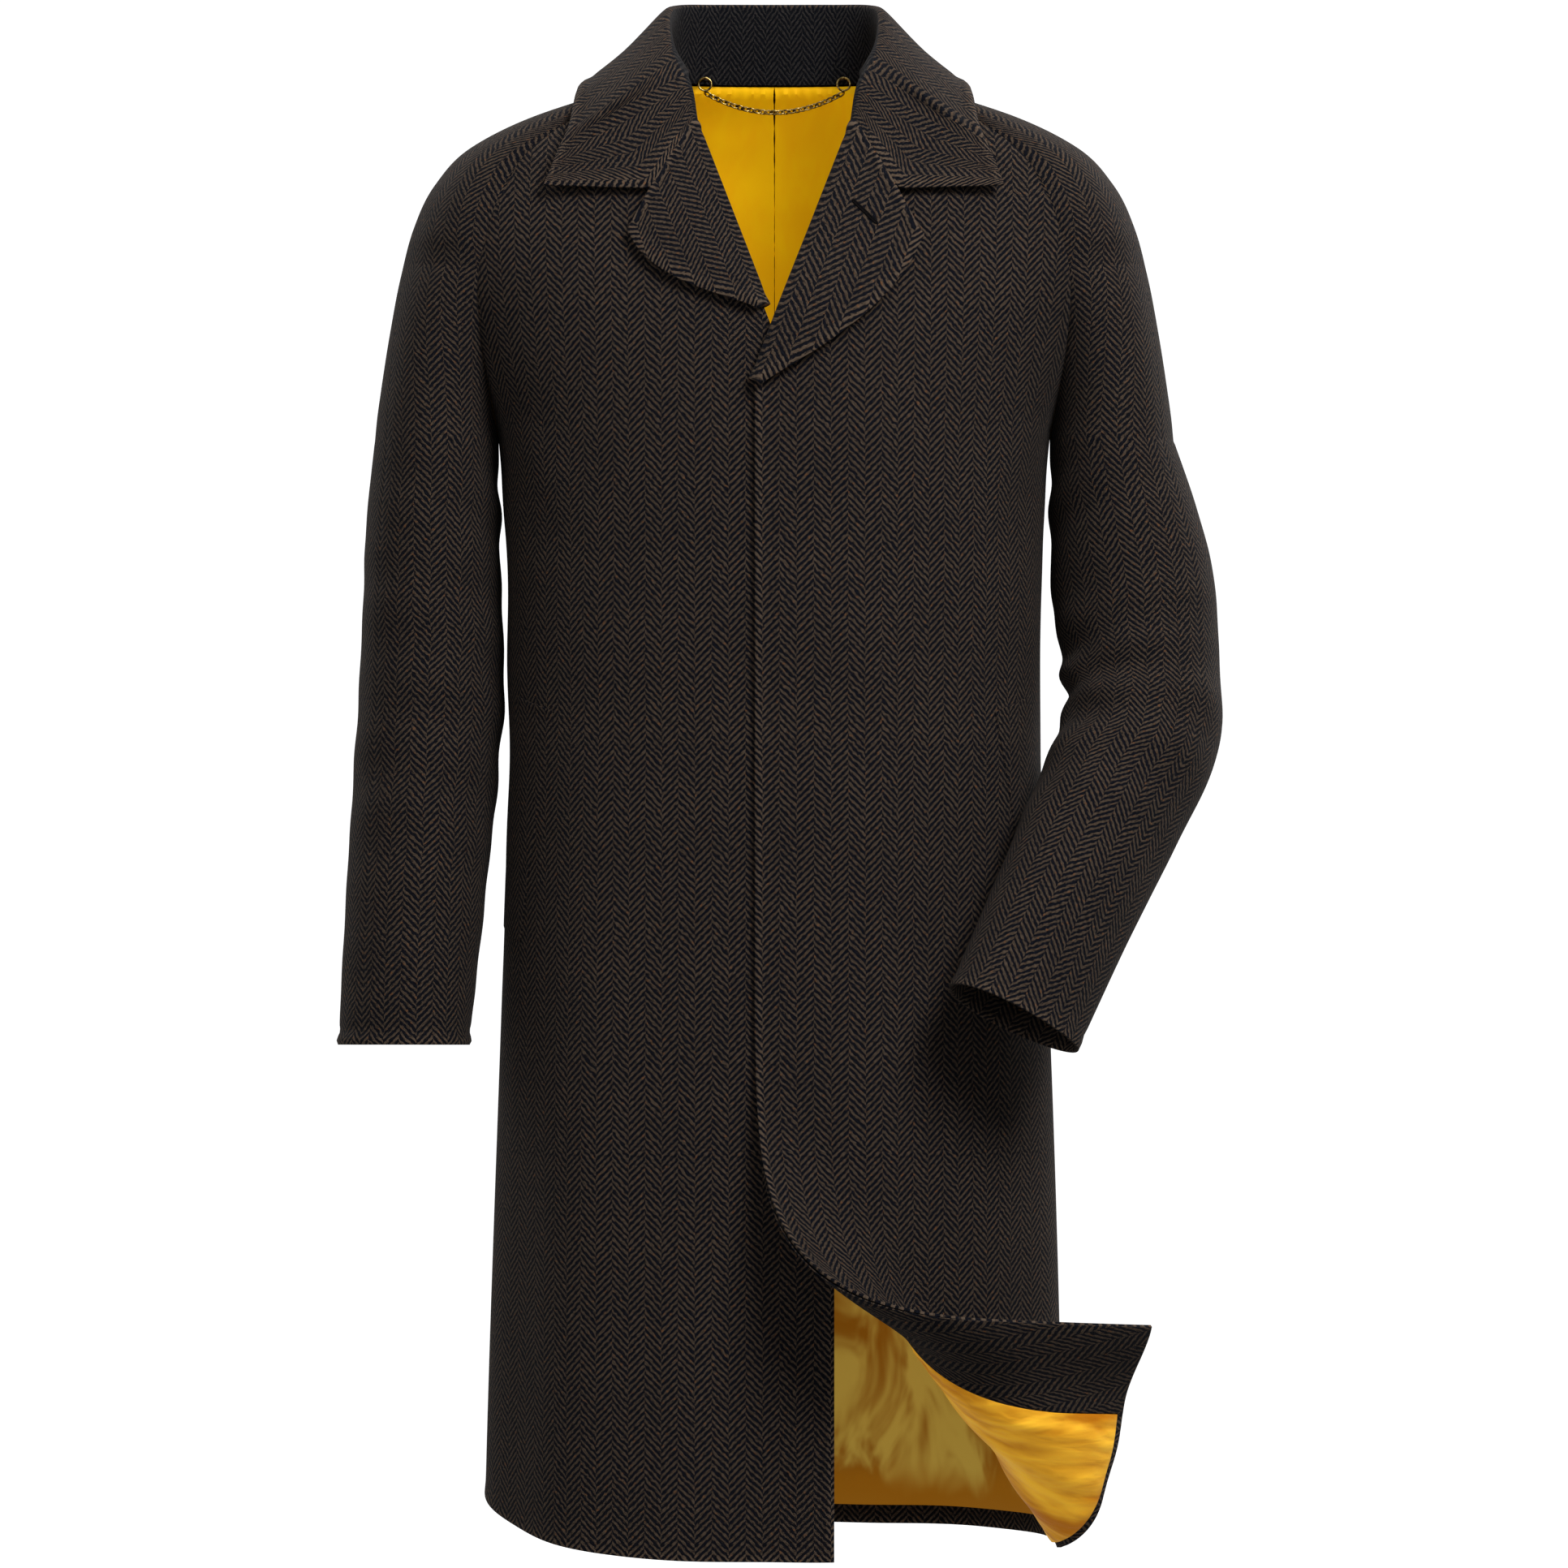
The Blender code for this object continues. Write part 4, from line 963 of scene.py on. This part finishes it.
for word, side in SIDES:
    cloth(word + "_lapel_cloth", cells(50, 90), lapel_place(side), (-LAPEL_TURN, 1, 0, 1), LAPEL, TWEED,
          word + "_lapel", flip=side < 0, lay=lapel_lay, rim=lapel_rim, bead=LAPEL_BEAD,
          offset=1)
collar_cells = cells(60, 220)
collar = cloth("collar_cloth", collar_cells, collar_place, (0, 1, -1, 1), COLLAR_CLOTH, TWEED, "collar",
               flip=True, lay=collar_lay, rim=collar_rim, bead=COLLAR_BEAD, offset=1)
collar.data.materials.append(PAINTED_SHADE_CLOTH)
for number, face in enumerate(collar.data.polygons):
    if number % collar_cells[0] < 0.38 * collar_cells[0]:
        face.material_index = 1

# %% [markdown]
# ## Pocket welts
# A welt is a slanting strip over a pocket's mouth, and only its top end shows past each sleeve. It is
# laid out with the front's own measures and moved out by a millimetre or two, so it follows every fold
# of the front, and its weave runs on from the front's.

# %% Pocket welts
POCKET = (0.171, 0.2195, -0.471, -0.640, 0.042, 0.012)  # girth from, to, top, bottom, slant, rise
WELT, WELT_RAISED, WELT_TOP_RAISED = 0.0006, 0.0008, 0.0010


def welt_point(u, v):
    girth_from, girth_to, top, bottom, slant, rise = POCKET
    return mix(girth_from, girth_to, u) + slant * (1 - v), mix(bottom, top, v) + rise * u


def welt_place(side):
    def place(u, v):
        girth, height = welt_point(u, v)
        deep = -WELT_RAISED - WELT_TOP_RAISED * ease((v - 0.96) / 0.04)
        return turned(girth, height, deep) if side > 0 else plain(girth, height, deep, -1)
    return place


def welt_lay(side):
    def lay(u, v, wide, long):
        girth, height = welt_point(u, v)
        return side * girth, height
    return lay


for word, side in SIDES:
    cloth(word + "_pocket_welt_cloth", cells(24, 60), welt_place(side), (0, 1, 0, 1), WELT, TWEED,
          word + "_pocket_welt", flip=side < 0, lay=welt_lay(side))

# %% [markdown]
# ## Hanger tabs
# Two short strips are sewn inside the neck, and each holds a ring of the hanger's chain. They are laid
# on the collar's own surface and moved off it, so they can't sink into it.

# %% Hanger tabs
TAB, TAB_AT, TAB_SHARE, TAB_CLEAR = 0.0008, (0.155, 0.190), (0.05, 0.42), 0.001


def tab_place(side):
    def place(u, v):
        low, high = [collar_place(share + 0 * u, side * mix(*TAB_AT, v)) for share in (0.0, STAND_SHARE)]
        line = mix(low, high, mix(*TAB_SHARE, u)[..., None])
        normal = unit(np.cross(np.gradient(line, axis=0), np.gradient(line, axis=1))) * side
        return line + normal * (COLLAR_CLOTH + TAB_CLEAR)
    return place


for word, side in SIDES:
    cloth(word + "_hanger_tab_cloth", cells(20, 12), tab_place(side), (0, 1, 0, 1), TAB, PAINTED_SHADE_CLOTH,
          word + "_hanger_tab", flip=side > 0)

# %% [markdown]
# ## Rings of wire
# The hanger's rings and links are bent wire. There is no ready torus among the mesh operators, so a
# circle of wire is spun right round instead. The normals are worked out again afterwards, because a
# spin can turn a shape inside out.

# %% Wire rings
def spun_ring(radius, wire, matrix):
    mesh = bmesh.new()
    across = Matrix.Translation((radius, 0, 0)) @ Matrix.Rotation(math.pi / 2, 4, "X")
    made = bmesh.ops.create_circle(mesh, segments=10, radius=wire, matrix=across)
    bmesh.ops.spin(mesh, geom=made["verts"] + mesh.edges[:], cent=(0, 0, 0), axis=(0, 0, 1), dvec=(0, 0, 0),
                   angle=2 * math.pi, steps=28, use_merge=True)
    bmesh.ops.transform(mesh, matrix=matrix, verts=mesh.verts)
    data = bpy.data.meshes.new("link")
    mesh.to_mesh(data)
    mesh.free()
    return data


def metal_piece(name, rings, node):
    mesh = bmesh.new()
    for radius, wire, matrix in rings:
        link = spun_ring(radius, wire, matrix)
        mesh.from_mesh(link)
        bpy.data.meshes.remove(link)
    bmesh.ops.recalc_face_normals(mesh, faces=mesh.faces)
    data = bpy.data.meshes.new(name)
    mesh.to_mesh(data)
    mesh.free()
    data.shade_smooth()
    data.materials.append(BRASS_FINISH)
    piece = bpy.data.objects.new(name, data)
    bpy.context.scene.collection.objects.link(piece)
    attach(piece, "root")
    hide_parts(node)
    print(name, "has", len(data.polygons), "faces")


RING_AT, RING_RADIUS, RING_WIRE = (0.0515, 0.0475, -0.0040), 0.0048, 0.0008
for word, side in SIDES:
    upright = Matrix.Translation((side * RING_AT[0], *RING_AT[1:])) @ Matrix.Rotation(math.pi / 2, 4, "X")
    metal_piece(word + "_hanger_ring_brass", [(RING_RADIUS, RING_WIRE, upright)], word + "_hanger_ring")

# %% [markdown]
# ## The hanger chain
# A hanger chain is a row of small oval links, each turned a quarter against the last. A stretch makes a
# ring an oval. The row follows the sag of the chain between its two end rings, measured along the sag,
# so that the links are evenly spaced.

# %% Hanger chain
SAG, BELOW_RINGS, INSIDE_RINGS = 0.0145, 0.0066, 0.0005
PITCH, LINK_WIRE, LINK_WIDE, LINK_ROLL = 0.0043, 0.00065, 0.0019, (-42, 48)
share = np.linspace(-1, 1, 400)
drop = RING_AT[2] - BELOW_RINGS - SAG * (1 - share**2)
sag_line = np.stack([share * (RING_AT[0] - INSIDE_RINGS), RING_AT[1] + 0 * share, drop], -1)
run = arc_lengths(sag_line, 0)
count = round(run[-1] / PITCH)


def along_sag(links_in):
    return np.array([np.interp(links_in / count * run[-1], run, sag_line[:, n]) for n in range(3)])


stretch = Matrix.Diagonal(((PITCH / 2 + LINK_WIRE) / LINK_WIDE, 1, 1, 1))
links = []
for number in range(count):
    here = along_sag(number + 0.5)
    ahead = Vector(along_sag(number + 0.6) - here).normalized()
    turn = ahead.to_track_quat("X", "Z").to_matrix().to_4x4()
    roll = Matrix.Rotation(math.radians(LINK_ROLL[number % 2]), 4, "X")
    links.append((LINK_WIDE, LINK_WIRE, Matrix.Translation(here) @ turn @ roll @ stretch))
metal_piece("hanger_chain_links", links, "hanger_chain")
print("links:", count, "over", round(float(run[-1]) * 1000), "mm")

# %% [markdown]
# ## The buttonhole in the lapel
# A buttonhole is a slit with a ridge of thread along both sides. Its grid lies on the lapel, raised in
# two ridges, and the slit is the valley between them.

# %% Buttonhole
SLIT, SLIT_CROSSWISE = ((0.108, -0.019), (0.0975, -0.0415)), (0.906, -0.423)
SLIT_WIDE, THREAD_RAISED, THREAD_RIDGE = 0.0030, 0.0003, 0.0005
LAPEL_BELOW, LAPEL_LONG = 0.036, 0.20
THREAD, thread_wire, thread_shader = new_material("buttonhole thread", 0.9, 0.0, Specular_IOR_Level=0.03)
thread_flat = thread_wire.node("ShaderNodeUVMap", {"uv_map": "cloth"}, {})
thread_wave = thread_flat.noise(900.0, 2.0)
thread_colour = thread_wave.between(0.3, 0.7).blend((0.0015, 0.0015, 0.002), (0.006, 0.005, 0.005))
finish_with(THREAD, thread_shader, thread_colour, thread_wave, 0.5, 0.0004)


def slit_place(u, v):
    distance, forward = [mix(SLIT[0][n], SLIT[1][n], v) for n in (0, 1)]
    across = (u - 0.5) * SLIT_WIDE * np.minimum(1, 1.2 * np.sqrt(np.maximum(1 - (2 * v - 1) ** 6, 0.02)))
    distance, forward = distance + across * SLIT_CROSSWISE[0], forward + across * SLIT_CROSSWISE[1]
    ridges = THREAD_RIDGE * np.exp(-((np.abs(2 * u - 1) - 0.55) / 0.22) ** 2)
    width = LEFT_LAPEL_WIDER * lapel_width((distance + LAPEL_BELOW) / LAPEL_LONG)
    reach = np.clip((SEAM - forward) / width, 0, 1)
    raised = 2 * LAPEL_ROLL + LAPEL + lapel_bulge(reach) + THREAD_RAISED + ridges
    return by_fold(distance, forward, raised, 1, True)


cloth("lapel_buttonhole_thread", (20, 80), slit_place, (0, 1, 0, 1), 0.0004, THREAD, "left_lapel",
      flip=True)

# %% [markdown]
# ## Count the sheets
# Each sheet's flat size was measured when it was made. The hanger's two tabs and the buttonhole are
# narrower than a centimetre, so they are strips and thread, not sheets.

wide_enough = [row for row in SHEETS if min(row[1], row[2]) > 0.012]
for piece, width, length, area in wide_enough:
    width = max(width, area / length * 1.02)
print("sheets:", len(wide_enough), "cloth in all:", round(sum(row[3] for row in SHEETS), 2), "m2")

# %% [markdown]
# ## A pale bowl to stand in
# The floor curves up into a wall all round the coat, so that every view has the same pale ground. It is
# hidden from the rays that carry light and shadow, so it brightens nothing and holds back no lamp.

# %% Floor
FLOOR_LEVEL, FLOOR_REACH, SWEEP, WALL_TOP = -1.62, 6.5, 2.5, 14.0
turns = np.linspace(0, math.pi / 2, 9)
sweep = [(FLOOR_REACH + SWEEP * math.sin(t), FLOOR_LEVEL + SWEEP - SWEEP * math.cos(t)) for t in turns]
profile = [(0.0, FLOOR_LEVEL)] + sweep + [(FLOOR_REACH + SWEEP, WALL_TOP)]
mesh = bmesh.new()
verts = [mesh.verts.new((x, 0, z)) for x, z in profile]
edges = [mesh.edges.new(pair) for pair in zip(verts, verts[1:])]
bmesh.ops.spin(mesh, geom=verts + edges, cent=(0, 0, 0), axis=(0, 0, 1), dvec=(0, 0, 0), angle=2 * math.pi,
               steps=64, use_merge=True)
floor_mesh = bpy.data.meshes.new("floor")
mesh.to_mesh(floor_mesh)
mesh.free()
floor_mesh.shade_smooth()
floor = bpy.data.objects.new("floor", floor_mesh)
bpy.context.scene.collection.objects.link(floor)
PALE, pale_wire, pale_shader = new_material("pale floor", 0.9, 0.0)
pale_shader.inputs["Base Color"].default_value = (0.90, 0.90, 0.90, 1)
pale_shader.inputs["Emission Color"].default_value = (1, 1, 1, 1)
pale_shader.inputs["Emission Strength"].default_value = 0.75
floor_mesh.materials.append(PALE)
floor.visible_diffuse, floor.visible_shadow, floor.visible_glossy = False, False, False
print("floor reaches", FLOOR_REACH + SWEEP, "m and lies at", FLOOR_LEVEL)

# %% [markdown]
# ## Light
# A broad light from above on the wearer's left gives soft shape, and a weaker one fills the other side.
# Dark cloth disappears without an edge of light, so two more stand behind the coat.

# %% Light
def area_light(name, place, target, size, watts):
    data = bpy.data.lights.new(name, "AREA")
    data.shape, data.size, data.energy = "DISK", size, watts
    light = bpy.data.objects.new(name, data)
    light.location = place
    light.rotation_euler = (Vector(target) - Vector(place)).to_track_quat("-Z", "Y").to_euler()
    bpy.context.scene.collection.objects.link(light)


area_light("key", (1.4, -2.5, 1.7), (0.05, 0, -0.3), 1.5, 118)
area_light("fill", (-2.8, -3.4, 0.8), (0, 0, -0.2), 2.2, 26)
area_light("top", (0, 0.6, 2.6), (0, 0, -0.3), 2.2, 40)
area_light("back left", (2.4, 3.0, 1.3), (0, 0, -0.5), 2.2, 85)
area_light("back right", (-2.6, 2.6, 0.9), (0, 0, -0.5), 2.2, 55)
world = bpy.data.worlds.new("studio")
world.use_nodes = True
world.node_tree.nodes["Background"].inputs[0].default_value = (1, 1, 1, 1)
world.node_tree.nodes["Background"].inputs[1].default_value = 0.30
bpy.context.scene.world = world
print("lights:", len(bpy.data.lights))

# %% [markdown]
# ## Camera
# The camera looks level at the middle of the coat through a long lens, from 5.5 metres away. The plain
# view transform keeps white white.

# %% Camera
bpy.context.scene.view_settings.view_transform = "Standard"
lens = bpy.data.cameras.new("camera")
lens.lens, lens.sensor_width, lens.clip_end = 171.4, 36, 60
camera = bpy.data.objects.new("camera", lens)
camera.location, camera.rotation_euler = (0.0072, -5.5, -0.524), (math.pi / 2, 0, 0)
bpy.context.scene.collection.objects.link(camera)
bpy.context.scene.camera = camera
print("camera:", tuple(round(c, 3) for c in camera.location))

# %% [markdown]
# ## Finish
# The view layer is updated once more at the end.

# %% Finish
bpy.context.view_layer.update()
